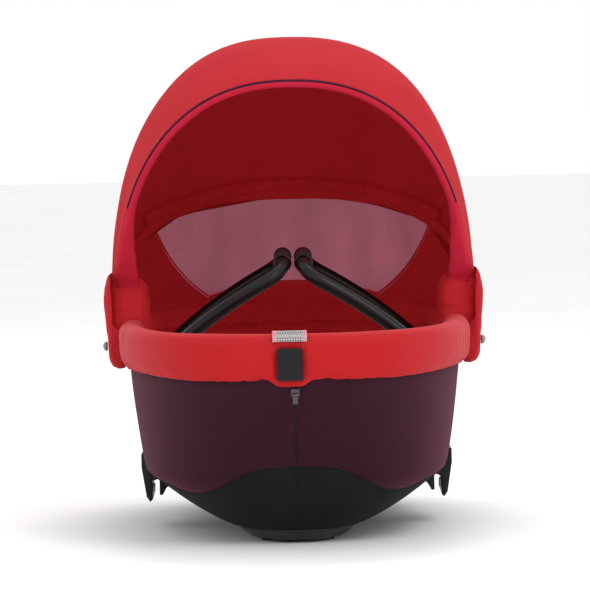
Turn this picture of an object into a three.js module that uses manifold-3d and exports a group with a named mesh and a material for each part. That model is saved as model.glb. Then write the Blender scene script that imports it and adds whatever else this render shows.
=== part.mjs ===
// A lie-flat infant carrycot: moulded base, fabric walls on a rim tube, a folding hood and two swinging
// carry handles. Millimetres, +Z up. +Y runs to the head end, -Y to the foot end, +X is the left side
// for a child lying in it. The origin is on the floor, under the middle of the bounding box.
import * as THREE from "three";
import { ParametricGeometry } from "three/addons/geometries/ParametricGeometry.js";
import { mergeVertices } from "three/addons/utils/BufferGeometryUtils.js";
import Module from "manifold-3d";

const wasm = await Module();
wasm.setup();

// Hull: half widths and reaches of the outer fabric face, measured from the middle of the cot.
const plinthHeight = 14;
const plinthHalfWidth = 72;
const plinthFootReach = 262;
const plinthHeadReach = 330;
const chineHeight = 72;
const chineHalfWidth = 171;
const bellyFullness = 0.7;
const footReach = 404;
const headReach = 382;
const rimHeight = 240;
const apronDrop = 56;
const footWallTop = rimHeight - apronDrop;
const rimHalfWidth = 193;
const sideFullness = 0.72;
const plinthSquareness = 3;
const rimSquareness = 2.6;
const planSteps = 32;

// Layers of the walls, from the outside in.
const fit = 0.4;
const coverThickness = 2.5;
const boardThickness = 3;
const linerThickness = 3;
const linerInset = 6.5;
const panWall = 4;
const panTop = 85;
const skidThickness = 3;
const rimTubeRadius = 6;
const rimTubeInset = 7;
const capThickness = 7;
const capUnderside = rimHeight - capThickness;
const tubeHeight = capUnderside - rimTubeRadius - 1;
const coverTop = tubeHeight - rimTubeRadius - 6;
const linerTop = coverTop - 4;
const panelPeak = 92;
const panelHalfSpan = 122;

// Foot-end apron and head-end rim pad.
const apronStandOff = 7;
const apronShift = -5;
const apronLap = 21;
const apronLapBottom = linerTop + 1;
const latchWidth = 27;
const latchHeight = 35;
const latchCentre = footWallTop + 21.5;
const latchTravel = 2;
const patchWidth = 37;
const patchDepth = 13;

// Bedding.
const mattressBoardThickness = 4;
const mattressThickness = 38;

// Hood: panels of revolution about one axis across the cot.
const pivotZ = rimHeight;
const hoodRadius = 322;
const hoodHalfWidth = rimHalfWidth + 18;
const rearEdgeOverhang = 13;
const pivotY = headReach + rearEdgeOverhang - hoodRadius;
const hoodSquareness = 2.7;
const hoodSteps = 18;
const panelCloth = 1.6;
const bowThickness = 3;
const slideGap = 1.4;
const bowWidth = 10;
const facingThickness = 1.2;
const facingAngle = 13;
const frontHem = 0.8;
const pipingRadius = 3;
const rearEdgeAngle = 0.6;
const rearBowAngle = 25;
const midBowAngle = 73;
const frontBowAngle = 121;
const rearPanelEnd = 49;
const midPanelEnd = 97;
const hubRadius = 24;
const hubPinRadius = 4;
const hubPinHead = 8;
const bowEyeRadius = 8;
const runningGap = 0.3;
const windowLow = pivotZ + 10;
const windowHigh = pivotZ + 117;
const windowLowHalf = 108;
const windowHighHalf = 168;
const windowCornerDrop = 20;
const rollRadius = 7;

// Skirt that hangs outside the rim round the head half.
const skirtThickness = 5.2;
const skirtClearance = 0.8;
const skirtLow = footWallTop - 3;
const skirtHigh = rimHeight + 50;
const skirtFront = pivotY - 59;
const studRadius = 5;
const studThickness = 2.4;

// Carry handles.
const armSpread = 180;
const armPivotZ = rimHeight - 42;
const armBendInset = 49.5;
const armBendZ = rimHeight + 25;
const gripZ = rimHeight + 65;
const cornerRun = 26;
const handleTubeRadius = 8;
const gripRadius = 10;
const gripX = gripRadius + 2;
const gripCapLength = 8;
const handlePinRadius = 5;
const handlePinGap = 0.35;
const cheekThickness = 3.5;
const clevisToLiner = 0.9;
const handleSteps = 36;

// Chassis connectors under the sides.
const connectorLength = 72;
const connectorFoot = 30;
const connectorSlot = 8;
const latchNose = 2;

const DEG = Math.PI / 180;

// Closed geometry to solid, with its faces turned outwards.
function solidOf(geometry) {
  const bare = geometry.clone();
  bare.deleteAttribute("normal");
  bare.deleteAttribute("uv");
  const merged = mergeVertices(bare, 1e-3);
  const corners = Array.from(merged.index.array);
  const whole = [];
  for (let i = 0; i < corners.length; i += 3) {
    const [a, b, c] = corners.slice(i, i + 3);
    if (a !== b && b !== c && c !== a) whole.push(a, b, c);
  }
  const make = (triangles) =>
    new wasm.Manifold(
      new wasm.Mesh({
        numProp: 3,
        vertProperties: merged.attributes.position.array,
        triVerts: new Uint32Array(triangles),
      }),
    );
  const made = make(whole);
  if (made.volume() > 0) return made;
  const turned = [];
  for (let i = 0; i < whole.length; i += 3) turned.push(whole[i], whole[i + 2], whole[i + 1]);
  return make(turned);
}

function geometryOf(solid) {
  const mesh = solid.getMesh();
  const geometry = new THREE.BufferGeometry();
  geometry.setAttribute("position", new THREE.BufferAttribute(mesh.vertProperties, 3));
  geometry.setIndex(new THREE.BufferAttribute(mesh.triVerts, 1));
  geometry.computeVertexNormals();
  return geometry;
}

function block(low, high) {
  const [x, y, z] = high.map((value, i) => value - low[i]);
  const box = new THREE.BoxGeometry(x, y, z);
  box.translate(low[0] + x / 2, low[1] + y / 2, low[2] + z / 2);
  return solidOf(box);
}

// A round bar along X or Y.
function bar(axis, radius, from, to, middle, sides = 14) {
  const cylinder = new THREE.CylinderGeometry(radius, radius, to - from, sides);
  if (axis === "x") {
    cylinder.rotateZ(Math.PI / 2);
    cylinder.translate((from + to) / 2, middle[0], middle[1]);
  } else {
    cylinder.translate(middle[0], (from + to) / 2, middle[1]);
  }
  return solidOf(cylinder);
}

// An outline in the XZ plane pushed along Y, or one in the YZ plane pushed along X.
function plate(axis, outline, from, to, curveSegments = 8) {
  const extruded = new THREE.ExtrudeGeometry(outline, {
    depth: to - from,
    bevelEnabled: false,
    curveSegments,
  });
  if (axis === "y") {
    extruded.rotateX(Math.PI / 2);
    extruded.translate(0, to, 0);
  } else {
    extruded.rotateX(Math.PI / 2);
    extruded.rotateZ(Math.PI / 2);
    extruded.translate(from, 0, 0);
  }
  return solidOf(extruded);
}

function outlineOf(points) {
  return new THREE.Shape(points.map(([x, y]) => new THREE.Vector2(x, y)));
}

// A unit box with a grid on it, each of whose points is moved by place(u, v, w).
function bent(across, along, through, place) {
  const box = new THREE.BoxGeometry(1, 1, 1, across, along, through);
  const points = box.attributes.position;
  for (let i = 0; i < points.count; i++) {
    const at = place(points.getX(i) + 0.5, points.getY(i) + 0.5, points.getZ(i) + 0.5);
    points.setXYZ(i, at.x, at.y, at.z);
  }
  return solidOf(box);
}

const lerp = THREE.MathUtils.lerp;

// The hull's heights where its sides change direction, and its plan at any height.
const stations = [
  0,
  plinthHeight,
  lerp(plinthHeight, chineHeight, 0.33),
  lerp(plinthHeight, chineHeight, 0.67),
  chineHeight,
  lerp(chineHeight, footWallTop, 0.25),
  lerp(chineHeight, footWallTop, 0.6),
  footWallTop,
  rimHeight,
];

function planAtStation(height) {
  const belly = THREE.MathUtils.clamp((height - plinthHeight) / (chineHeight - plinthHeight), 0, 1);
  const side = THREE.MathUtils.clamp((height - chineHeight) / (rimHeight - chineHeight), 0, 1);
  const lean = THREE.MathUtils.clamp((height - plinthHeight) / (footWallTop - plinthHeight), 0, 1);
  const plinthTaper = Math.min(height - plinthHeight, 0) * 0.8;
  return {
    half:
      plinthTaper +
      lerp(plinthHalfWidth, chineHalfWidth, belly ** bellyFullness) +
      (rimHalfWidth - chineHalfWidth) * side ** sideFullness,
    foot: plinthTaper + lerp(plinthFootReach, footReach, lean),
    head: plinthTaper + lerp(plinthHeadReach, headReach, lean),
    power: lerp(plinthSquareness, rimSquareness, lean),
  };
}

function planAt(height, offset) {
  const above = stations.findIndex((z) => z >= height);
  const high = above < 0 ? stations.length - 1 : Math.max(above, 1);
  const low = high - 1;
  const t = Math.min((height - stations[low]) / (stations[high] - stations[low]), 1);
  const [a, b] = [planAtStation(stations[low]), planAtStation(stations[high])];
  return {
    half: lerp(a.half, b.half, t) + offset,
    foot: lerp(a.foot, b.foot, t) + offset,
    head: lerp(a.head, b.head, t) + offset,
    power: lerp(a.power, b.power, t),
    height,
  };
}

function planPoint(plan, angle) {
  const [c, s] = [Math.cos(angle), Math.sin(angle)];
  const bend = (value) => Math.sign(value) * Math.abs(value) ** (2 / plan.power);
  const reach = s > 0 ? plan.head : plan.foot;
  return new THREE.Vector3(plan.half * bend(c), reach * bend(s), plan.height);
}

// The distance of a ring's face from the middle plane, at a place along the cot.
function sideFace(height, offset, y) {
  const plan = planAt(height, offset);
  const points = Array.from({ length: planSteps / 2 + 1 }, (_, i) =>
    planPoint(plan, (2 * Math.PI * (i - planSteps / 4)) / planSteps),
  );
  const next = Math.max(points.findIndex((point) => point.y >= y), 1);
  const [a, b] = [points[next - 1], points[next]];
  return lerp(a.x, b.x, (y - a.y) / (b.y - a.y));
}

// The offset at which a ring's face stands at a wanted distance from the middle plane.
function offsetFor(height, y, face) {
  let offset = 0;
  for (let pass = 0; pass < 5; pass++) offset += face - sideFace(height, offset, y);
  return offset;
}

// A skin through a list of plans. Every cell is cut along the diagonal that falls the same way round,
// so that nested walls stay parallel.
function skinThrough(plans) {
  const cells = plans.length - 1;
  const geometry = new ParametricGeometry(
    (u, v, target) => {
      const turn = Math.round(v * planSteps) % planSteps;
      target.copy(planPoint(plans[Math.round(u * cells)], (2 * Math.PI * turn) / planSteps));
    },
    cells,
    planSteps,
  );
  const height = (corner) => geometry.attributes.position.getZ(corner);
  const index = [];
  for (let turn = 0; turn < planSteps; turn++) {
    for (let cell = 0; cell < cells; cell++) {
      const a = turn * (cells + 1) + cell;
      const [b, c, d] = [a + 1, a + cells + 2, a + cells + 1];
      if (height(a) <= height(b)) index.push(a, b, d, b, c, d);
      else index.push(a, b, c, a, c, d);
    }
  }
  geometry.setIndex(index);
  return solidOf(geometry);
}

// A ring round the hull whose section is a closed list of [offset, height].
function ring(section) {
  return skinThrough([...section, section[0]].map(([offset, height]) => planAt(height, offset)));
}

// A solid that fills the hull's plan, level by level.
function filled(levels) {
  const plans = levels.map(([offset, height]) => planAt(height, offset));
  const centre = (plan) => ({ ...plan, half: 0, foot: 0, head: 0 });
  return skinThrough([centre(plans[0]), ...plans, centre(plans[plans.length - 1])]);
}

// The section of a wall between two offsets and two heights, with the hull's own stations in it.
function wallSection(inner, outer, low, high) {
  const heights = [low, ...stations.filter((z) => z > low + 0.5 && z < high - 0.5), high];
  const face = (offset) => heights.map((z) => [offset, z]);
  return [...face(outer), ...face(inner).reverse()];
}

// Points on a surface of revolution: how far round the arch (-1 to 1), depth below the outer face.
function archPoint(along, depth) {
  const phi = along * (Math.PI / 2);
  const bend = (value) => Math.sign(value) * Math.abs(value) ** (2 / hoodSquareness);
  return {
    x: (hoodHalfWidth - depth) * bend(Math.sin(phi)),
    r: (hoodRadius - depth) * bend(Math.cos(phi)),
  };
}

function onHood(along, depth, angle, ahead = 0) {
  const { x, r } = archPoint(along, depth);
  const [c, s] = [Math.cos(angle * DEG), Math.sin(angle * DEG)];
  return new THREE.Vector3(x, pivotY + r * c - ahead * s, pivotZ + r * s + ahead * c);
}

// How far round the arch a panel runs before it meets the pivot hub.
const panelReach = 0.985;

function hoodPanel(depth, thickness, fromAngle, toAngle, steps, reach = panelReach) {
  return bent(hoodSteps, steps, 1, (u, v, w) =>
    onHood((2 * u - 1) * reach, depth + thickness * (1 - w), lerp(fromAngle, toAngle, v)),
  );
}

function hoodBow(depth, angle) {
  const strip = bent(hoodSteps, 1, 1, (u, v, w) =>
    onHood(2 * u - 1, depth + bowThickness * (1 - w), angle, (v - 0.5) * bowWidth),
  );
  const outer = hoodHalfWidth - depth;
  const inner = outer - bowThickness;
  return [-1, 1].reduce((bow, side) => {
    const [from, to] = side > 0 ? [inner, outer] : [-outer, -inner];
    const eye = bar("x", bowEyeRadius, from, to, [pivotY, pivotZ]);
    const hole = bar("x", hubPinRadius + runningGap, from - 5, to + 5, [pivotY, pivotZ]);
    return bow.add(eye).subtract(hole);
  }, strip);
}

const group = new THREE.Group();

function piece(name, solid, colour, roughness, metalness = 0) {
  const material = new THREE.MeshStandardMaterial({ color: colour, roughness, metalness });
  const mesh = new THREE.Mesh(geometryOf(solid), material);
  mesh.name = name;
  group.add(mesh);
}

const black = "#1d1e20";
const fabricBlack = "#222326";
const burgundy = "#4a2430";
const red = "#c6262e";
const deepRed = "#8c1a20";
const sides = [
  ["left", 1],
  ["right", -1],
];

// Keeps the part of a solid on one side of a plane across X or Y.
function keep(solid, axis, from, to) {
  const low = [-600, -600, -50];
  const high = [600, 600, 700];
  const at = axis === "x" ? 0 : 1;
  [low[at], high[at]] = [from, to];
  return solid.intersect(block(low, high));
}

// Base: a moulded pan with a flat bottom on two rubber skids.
const panOuter = -coverThickness - fit;
const panFloor = skidThickness + fit;
const shoulder = plinthHeight + fit;
const panBody = filled([
  [-1, panFloor],
  [-1, plinthHeight],
  [panOuter, plinthHeight],
  ...stations.filter((z) => z > plinthHeight && z < panTop).map((z) => [panOuter, z]),
  [panOuter, panTop],
]);
const panHollow = filled([
  [panOuter - panWall, plinthHeight],
  ...stations.filter((z) => z > plinthHeight && z < panTop).map((z) => [panOuter - panWall, z]),
  [panOuter - panWall, panTop + 5],
]);
piece("base_pan", panBody.subtract(panHollow), black, 0.55);
for (const [side, sign] of sides) {
  const near = 22;
  const far = 40;
  const [from, to] = sign > 0 ? [near, far] : [-far, -near];
  piece(`skid_${side}`, block([from, -210, 0], [to, 280, skidThickness]), black, 0.9);
}

// Stiffening boards inside the walls, one to a side.
const boardOuter = -coverThickness - fit;
const boards = ring(wallSection(boardOuter - boardThickness, boardOuter, panTop + fit, coverTop));
const boardCorner = 215;
const boardGap = 1;
piece("wall_board_foot", keep(boards, "y", -600, -boardCorner - boardGap), black, 0.8);
piece("wall_board_head", keep(boards, "y", boardCorner + boardGap, 600), black, 0.8);
const sideBoards = keep(boards, "y", -boardCorner, boardCorner);
for (const [side, sign] of sides) {
  const [from, to] = sign > 0 ? [0, 600] : [-600, 0];
  piece(`wall_board_${side}`, keep(sideBoards, "x", from, to), black, 0.8);
}

// Outer fabric, split by a bell-shaped seam into a dark lower part and a burgundy upper part.
const cover = ring(wallSection(-coverThickness, 0, shoulder, coverTop));
function bellOutline(lift) {
  const bell = new THREE.Shape();
  const top = panelPeak + lift;
  const low = chineHeight + lift;
  bell.moveTo(-300, -20);
  bell.lineTo(300, -20);
  bell.lineTo(300, low);
  bell.lineTo(panelHalfSpan, low);
  bell.bezierCurveTo(panelHalfSpan * 0.7, low, panelHalfSpan * 0.55, top, 0, top);
  bell.bezierCurveTo(-panelHalfSpan * 0.55, top, -panelHalfSpan * 0.7, low, -panelHalfSpan, low);
  bell.lineTo(-300, low);
  return plate("y", bell, -600, 600, 5);
}
const lowerCover = cover.intersect(bellOutline(-fit / 2));
const upperCover = cover.subtract(bellOutline(fit / 2));
for (const [side, sign] of sides) {
  const [from, to] = sign > 0 ? [fit, 600] : [-600, -fit];
  piece(`lower_cover_${side}`, keep(lowerCover, "x", from, to), fabricBlack, 0.85);
  piece(`outer_cover_${side}`, keep(upperCover, "x", from, to), burgundy, 0.85);
}

// Piping over the seam at the middle of each end.
function endPiping(sign) {
  const heights = [shoulder, footWallTop - 2];
  const reach = (z, offset) => (sign > 0 ? planAt(z, offset).head : -planAt(z, offset).foot);
  const face = (offset) => heights.map((z) => [reach(z, offset), z]);
  return plate("x", outlineOf([...face(fit), ...face(2).reverse()]), -1.3, 1.3);
}
piece("seam_piping_foot", endPiping(-1), burgundy, 0.8);
piece("seam_piping_head", endPiping(1), burgundy, 0.8);

// Rim tube.
const tubeSides = 8;
const tubeSection = Array.from({ length: tubeSides }, (_, i) => {
  const turn = ((i + 0.5) / tubeSides) * 2 * Math.PI;
  return [-rimTubeInset + rimTubeRadius * Math.cos(turn), tubeHeight + rimTubeRadius * Math.sin(turn)];
});
piece("rim_tube", ring(tubeSection), "#2b2b2e", 0.45, 0.6);

// Apron over the foot half of the rim, and the pad over the head half. Both lap over the rim tube.
function capSection(standOff, bottom) {
  return [
    [0.6, bottom],
    [standOff * 0.75, bottom + 1],
    [standOff, lerp(bottom, rimHeight, 0.25)],
    [standOff, rimHeight - 18],
    [standOff * 0.6, rimHeight - 4],
    [0, rimHeight],
    [-apronLap * 0.55, rimHeight],
    [-apronLap * 0.95, rimHeight - 6],
    [-apronLap, apronLapBottom + 4],
    [-apronLap + 2, apronLapBottom],
    [-rimTubeInset - rimTubeRadius - 1, apronLapBottom],
    [-rimTubeInset - rimTubeRadius - 1, capUnderside],
    [0.6, capUnderside],
  ];
}
const hubGap = 2;
const apronEnd = pivotY - hubRadius - hubGap;
const apronBand = keep(ring(capSection(apronStandOff, footWallTop)), "y", -600, apronEnd);
const latchSlot = block(
  [apronShift - latchWidth / 2 - fit, -600, latchCentre - latchHeight / 2 - fit],
  [apronShift + latchWidth / 2 + fit, -footReach + 5, latchCentre + latchHeight / 2 + fit],
);
const patchRecess = block(
  [apronShift - patchWidth / 2 - fit, -600, rimHeight - patchDepth],
  [apronShift + patchWidth / 2 + fit, -footReach - 2.4, rimHeight + 5],
);
piece("apron", apronBand.subtract(latchSlot).subtract(patchRecess), red, 0.9);
const padStart = pivotY + hubRadius + hubGap;
const padBand = keep(ring(capSection(apronStandOff, apronLapBottom + 1)), "y", padStart, 600);
piece("head_rim_pad", padBand, deepRed, 0.9);

// Reflective patch on the apron's top edge.
const patchFace = -footReach - apronStandOff;
const patchOutline = [
  [patchFace + 0.2, rimHeight - patchDepth + fit],
  [patchFace + 2.4, rimHeight - 5],
  [patchFace + 4.2, rimHeight - 2.6],
  [patchFace + 4.2, rimHeight - patchDepth + fit],
];
const patchFrom = apronShift - patchWidth / 2;
const patch = plate("x", outlineOf(patchOutline), patchFrom, patchFrom + patchWidth);
piece("reflective_patch", patch, "#aaa2a3", 0.4);

// Curved latch plate that presses into its slot.
const latchPlate = bent(8, 4, 1, (u, v, w) => {
  const bulge = Math.sin(Math.PI * u) * 1.2 + Math.sin(Math.PI * v);
  const back = -footReach - latchTravel - fit;
  const front = -footReach - apronStandOff + 2 - bulge;
  return new THREE.Vector3(
    apronShift + (u - 0.5) * latchWidth,
    lerp(back, front, w),
    latchCentre + (v - 0.5) * latchHeight,
  );
});
piece("latch_plate", latchPlate, "#101113", 0.15);

// Slider of the zip under the apron. Its two lugs carry a pin that the pull hangs from.
const sliderTop = footWallTop - 5;
const sliderReach = -planAt(sliderTop, 0).foot;
const sliderHeight = 4;
const pullHalfWidth = 2.8;
const pullPinRadius = 0.7;
const pullEyeRadius = 1.8;
const pullLength = 10;
const pullY = sliderReach - 2.4 - pullEyeRadius;
const pullZ = sliderTop - sliderHeight - pullEyeRadius - fit;
const lugFrom = pullHalfWidth + fit;
const lugTo = lugFrom + 1.3;
const sliderBody = block(
  [-lugTo, pullY - 1.4, sliderTop - sliderHeight],
  [lugTo, sliderReach - 2.4, sliderTop],
);
const slider = [-1, 1].reduce((body, side) => {
  const [from, to] = side > 0 ? [lugFrom, lugTo] : [-lugTo, -lugFrom];
  return body.add(block([from, pullY - 1.4, pullZ - 1.4], [to, pullY + 1.4, sliderTop - 1]));
}, sliderBody);
const pullPin = bar("x", pullPinRadius, -lugTo + 0.5, lugTo - 0.5, [pullY, pullZ]);
piece("zip_slider", slider.add(pullPin), "#3a3a3c", 0.3, 0.8);
const pull = bar("x", pullEyeRadius, -pullHalfWidth, pullHalfWidth, [pullY, pullZ])
  .add(block([-pullHalfWidth, pullY - 0.8, pullZ - pullLength], [pullHalfWidth, pullY + 0.8, pullZ]))
  .subtract(bar("x", pullPinRadius + runningGap, -lugTo, lugTo, [pullY, pullZ]));
piece("zip_pull", pull, "#3a3a3c", 0.3, 0.8);

// Lining and bedding.
const boardFloor = panTop + fit;
const bedFloor = boardFloor + mattressBoardThickness + fit;
const mattressTop = bedFloor + mattressThickness;
const bedInset = -linerInset - linerThickness - 1;
const boardEdge = boardOuter - boardThickness - 0.6;
const mattressBoard = filled([
  [boardEdge, boardFloor],
  [boardEdge, boardFloor + mattressBoardThickness],
]);
piece("mattress_board", mattressBoard, "#8a7a64", 0.8);
const mattress = filled([
  [bedInset - 6, bedFloor],
  [bedInset - 1, bedFloor + 5],
  [bedInset - 1, mattressTop - 8],
  [bedInset - 10, mattressTop],
]);
piece("mattress", mattress, "#e8e4de", 0.95);
const liner = ring(wallSection(-linerInset - linerThickness, -linerInset, bedFloor, linerTop));
piece("liner", liner, deepRed, 0.9);

// Hood cloth and bows. Each body keeps to its own depth, so that the panels slide over each other.
const frontBowDepth = panelCloth + slideGap;
const facingDepth = frontBowDepth + bowThickness + slideGap;
const midDepth = facingDepth + facingThickness + slideGap;
const midBowDepth = midDepth + panelCloth + slideGap;
const rearDepth = midBowDepth + bowThickness + slideGap;
const rearBowDepth = rearDepth + panelCloth + slideGap;

// Hood hubs on the rim, each with the pin that the three bows turn on.
const hubHead = 1.8;
const hubOuter = hoodHalfWidth - rearBowDepth - bowThickness - 2 * fit;
const hubInner = hubOuter - 14;
for (const [side, sign] of sides) {
  const tombstone = new THREE.Shape();
  tombstone.moveTo(pivotY - hubRadius, capUnderside);
  tombstone.lineTo(pivotY + hubRadius, capUnderside);
  tombstone.lineTo(pivotY + hubRadius, pivotZ);
  tombstone.absarc(pivotY, pivotZ, hubRadius, 0, Math.PI);
  const ranges = (from, to) => (sign > 0 ? [from, to] : [-to, -from]);
  const body = plate("x", tombstone, ...ranges(hubInner, hubOuter), 10);
  const pin = bar("x", hubPinRadius, ...ranges(hubOuter - 5, hoodHalfWidth + 1), [pivotY, pivotZ]);
  const headRange = ranges(hoodHalfWidth + fit, hoodHalfWidth + hubHead);
  const head = bar("x", hubPinHead, ...headRange, [pivotY, pivotZ]);
  piece(`hood_hub_${side}`, body.add(pin).add(head), black, 0.4);
}

function windowOutline(grow) {
  const shape = new THREE.Shape();
  const [low, high] = [windowLow - grow, windowHigh + grow];
  const [lowHalf, highHalf] = [windowLowHalf + grow, windowHighHalf + grow];
  shape.moveTo(-lowHalf, low);
  shape.quadraticCurveTo(0, low + 24, lowHalf, low);
  shape.quadraticCurveTo(highHalf - 12, low + 36, highHalf, high - windowCornerDrop);
  shape.quadraticCurveTo(highHalf * 0.5, high, 0, high);
  shape.quadraticCurveTo(-highHalf * 0.5, high, -highHalf, high - windowCornerDrop);
  shape.quadraticCurveTo(-highHalf + 12, low + 36, -lowHalf, low);
  return plate("y", shape, pivotY + 20, 600, 5);
}
const rearPanel = hoodPanel(rearDepth, panelCloth, rearEdgeAngle, rearPanelEnd, 5);
piece("hood_rear_panel", rearPanel.subtract(windowOutline(0)), red, 0.9);
const mesh = hoodPanel(rearDepth + 0.4, 0.8, rearEdgeAngle, rearBowAngle, 5);
piece("hood_window", mesh.intersect(windowOutline(-fit)), "#8c4b5f", 0.8);
piece("rear_bow", hoodBow(rearBowDepth, rearBowAngle), black, 0.5);
piece("hood_mid_panel", hoodPanel(midDepth, panelCloth, rearPanelEnd + 0.3, midPanelEnd, 5), red, 0.9);
piece("mid_bow", hoodBow(midBowDepth, midBowAngle), black, 0.5);
const frontPanel = hoodPanel(0, panelCloth, midPanelEnd + 0.3, frontBowAngle + frontHem, 3);
piece("hood_front_panel", frontPanel, red, 0.9);
piece("front_bow", hoodBow(frontBowDepth, frontBowAngle), black, 0.5);
piece(
  "hood_facing",
  hoodPanel(facingDepth, facingThickness, frontBowAngle - facingAngle, frontBowAngle + frontHem, 2),
  red,
  0.9,
);

// Rounded tube along a curve.
function tube(curve, radius, sidesRound, steps) {
  const section = new THREE.Shape();
  section.absarc(0, 0, radius, 0, 2 * Math.PI);
  const extruded = new THREE.ExtrudeGeometry(section, {
    steps,
    bevelEnabled: false,
    extrudePath: curve,
    curveSegments: sidesRound,
  });
  return solidOf(extruded);
}

function archCurve(reach, depth, angle, ahead, points) {
  const list = Array.from({ length: points }, (_, i) =>
    onHood(lerp(-reach, reach, i / (points - 1)), depth, angle, ahead),
  );
  return new THREE.CatmullRomCurve3(list, false, "centripetal");
}
const pipingAhead = bowWidth / 2 + pipingRadius + fit;
const pipingCurve = archCurve(0.9, pipingRadius, frontBowAngle, pipingAhead, 17);
piece("hood_piping", tube(pipingCurve, pipingRadius, 3, 24), "#46202f", 0.7);
const rollDepth = rearBowDepth + bowThickness + rollRadius + slideGap;
const rollCurve = archCurve(0.62, rollDepth, rearBowAngle, 0, 11);
piece("window_roll", tube(rollCurve, rollRadius, 4, 14), deepRed, 0.9);

const skirtFace = hoodHalfWidth + hubHead + skirtClearance;
const skirtInner = offsetFor(pivotZ - hubPinHead, pivotY + hubPinHead, skirtFace);
const skirtOuter = skirtInner + skirtThickness;

// Skirt round the head half, in two halves that meet at the head, and its snap studs.
const skirt = keep(
  ring([
    [apronStandOff + 1, skirtLow + 2],
    [apronStandOff + 5, skirtLow],
    [skirtOuter - 2, skirtLow + 8],
    [skirtOuter, skirtLow + 34],
    [skirtOuter, skirtHigh - 25],
    [skirtOuter - 4, skirtHigh],
    [skirtInner, skirtHigh],
    [skirtInner, pivotZ - bowEyeRadius - 4],
    [apronStandOff + 1, pivotZ - bowEyeRadius - 9],
  ]),
  "y",
  skirtFront,
  600,
);
const studPlaces = [
  ["front", pivotY - 41, skirtLow + 26],
  ["rear", pivotY + 45, skirtHigh - 28],
];
for (const [side, sign] of sides) {
  const [from, to] = sign > 0 ? [fit, 600] : [-600, -fit];
  piece(`hood_skirt_${side}`, keep(skirt, "x", from, to), red, 0.9);
  for (const [place, y, z] of studPlaces) {
    const face = sideFace(z + studRadius, skirtOuter, y - studRadius) + fit;
    const range = sign > 0 ? [face, face + studThickness] : [-face - studThickness, -face];
    piece(`skirt_stud_${place}_${side}`, bar("x", studRadius, ...range, [y, z], 12), "#9a9a9c", 0.3, 0.9);
  }
}

// Carry handles: a U of tube to a side, on pins in four clevises on the inner walls. The pins stand off
// the narrower end's lining by the clevis and the swing of the tube's end.
const clevisReach = armSpread + handleTubeRadius + 0.8 + cheekThickness;
const clevisLow = armPivotZ - 15;
const linerFace = Math.min(
  sideFace(clevisLow, -linerInset - linerThickness, clevisReach),
  sideFace(clevisLow, -linerInset - linerThickness, -clevisReach),
);
const clevisBack = handleTubeRadius * 1.5;
const armPivotX = linerFace - clevisToLiner - cheekThickness - clevisBack;
const armBendX = armPivotX - armBendInset;
function handlePath(sign) {
  const path = new THREE.CurvePath();
  const at = (x, y, z) => new THREE.Vector3(sign * x, y, z);
  const run = new THREE.Vector2(armPivotX - armBendX, armPivotZ - armBendZ).normalize();
  const tail = (y) => at(armPivotX + run.x * handleTubeRadius, y, armPivotZ + run.y * handleTubeRadius);
  const lean = new THREE.Vector2(armBendX - gripX, armBendZ - gripZ).normalize();
  const shoulderAt = (y) => at(gripX + lean.x * cornerRun, y, gripZ + lean.y * cornerRun);
  for (const end of [-1, 1]) {
    const y = end * armSpread;
    const foot = at(armPivotX, y, armPivotZ);
    const gripStart = at(gripX, y - end * cornerRun, gripZ);
    const parts = [
      new THREE.LineCurve3(tail(y), foot),
      new THREE.QuadraticBezierCurve3(foot, at(armBendX, y, armBendZ), shoulderAt(y)),
      new THREE.QuadraticBezierCurve3(shoulderAt(y), at(gripX, y, gripZ), gripStart),
    ];
    if (end < 0) {
      parts.forEach((part) => path.add(part));
      path.add(new THREE.LineCurve3(gripStart, at(gripX, armSpread - cornerRun, gripZ)));
    } else {
      const back = (curve) => {
        const flipped = curve.clone();
        if (curve.isLineCurve3) [flipped.v1, flipped.v2] = [curve.v2.clone(), curve.v1.clone()];
        else [flipped.v0, flipped.v2] = [curve.v2.clone(), curve.v0.clone()];
        return flipped;
      };
      parts.reverse().forEach((part) => path.add(back(part)));
    }
  }
  return path;
}

function sleeve(inner, outer, from, to, x, z) {
  const chamfer = 1.5;
  const profile = [
    [inner, from],
    [outer - chamfer, from],
    [outer, from + chamfer],
    [outer, to - chamfer],
    [outer - chamfer, to],
    [inner, to],
    [inner, from],
  ].map(([radius, y]) => new THREE.Vector2(radius, y));
  const lathe = new THREE.LatheGeometry(profile, 12);
  lathe.translate(x, 0, z);
  return solidOf(lathe);
}

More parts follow.
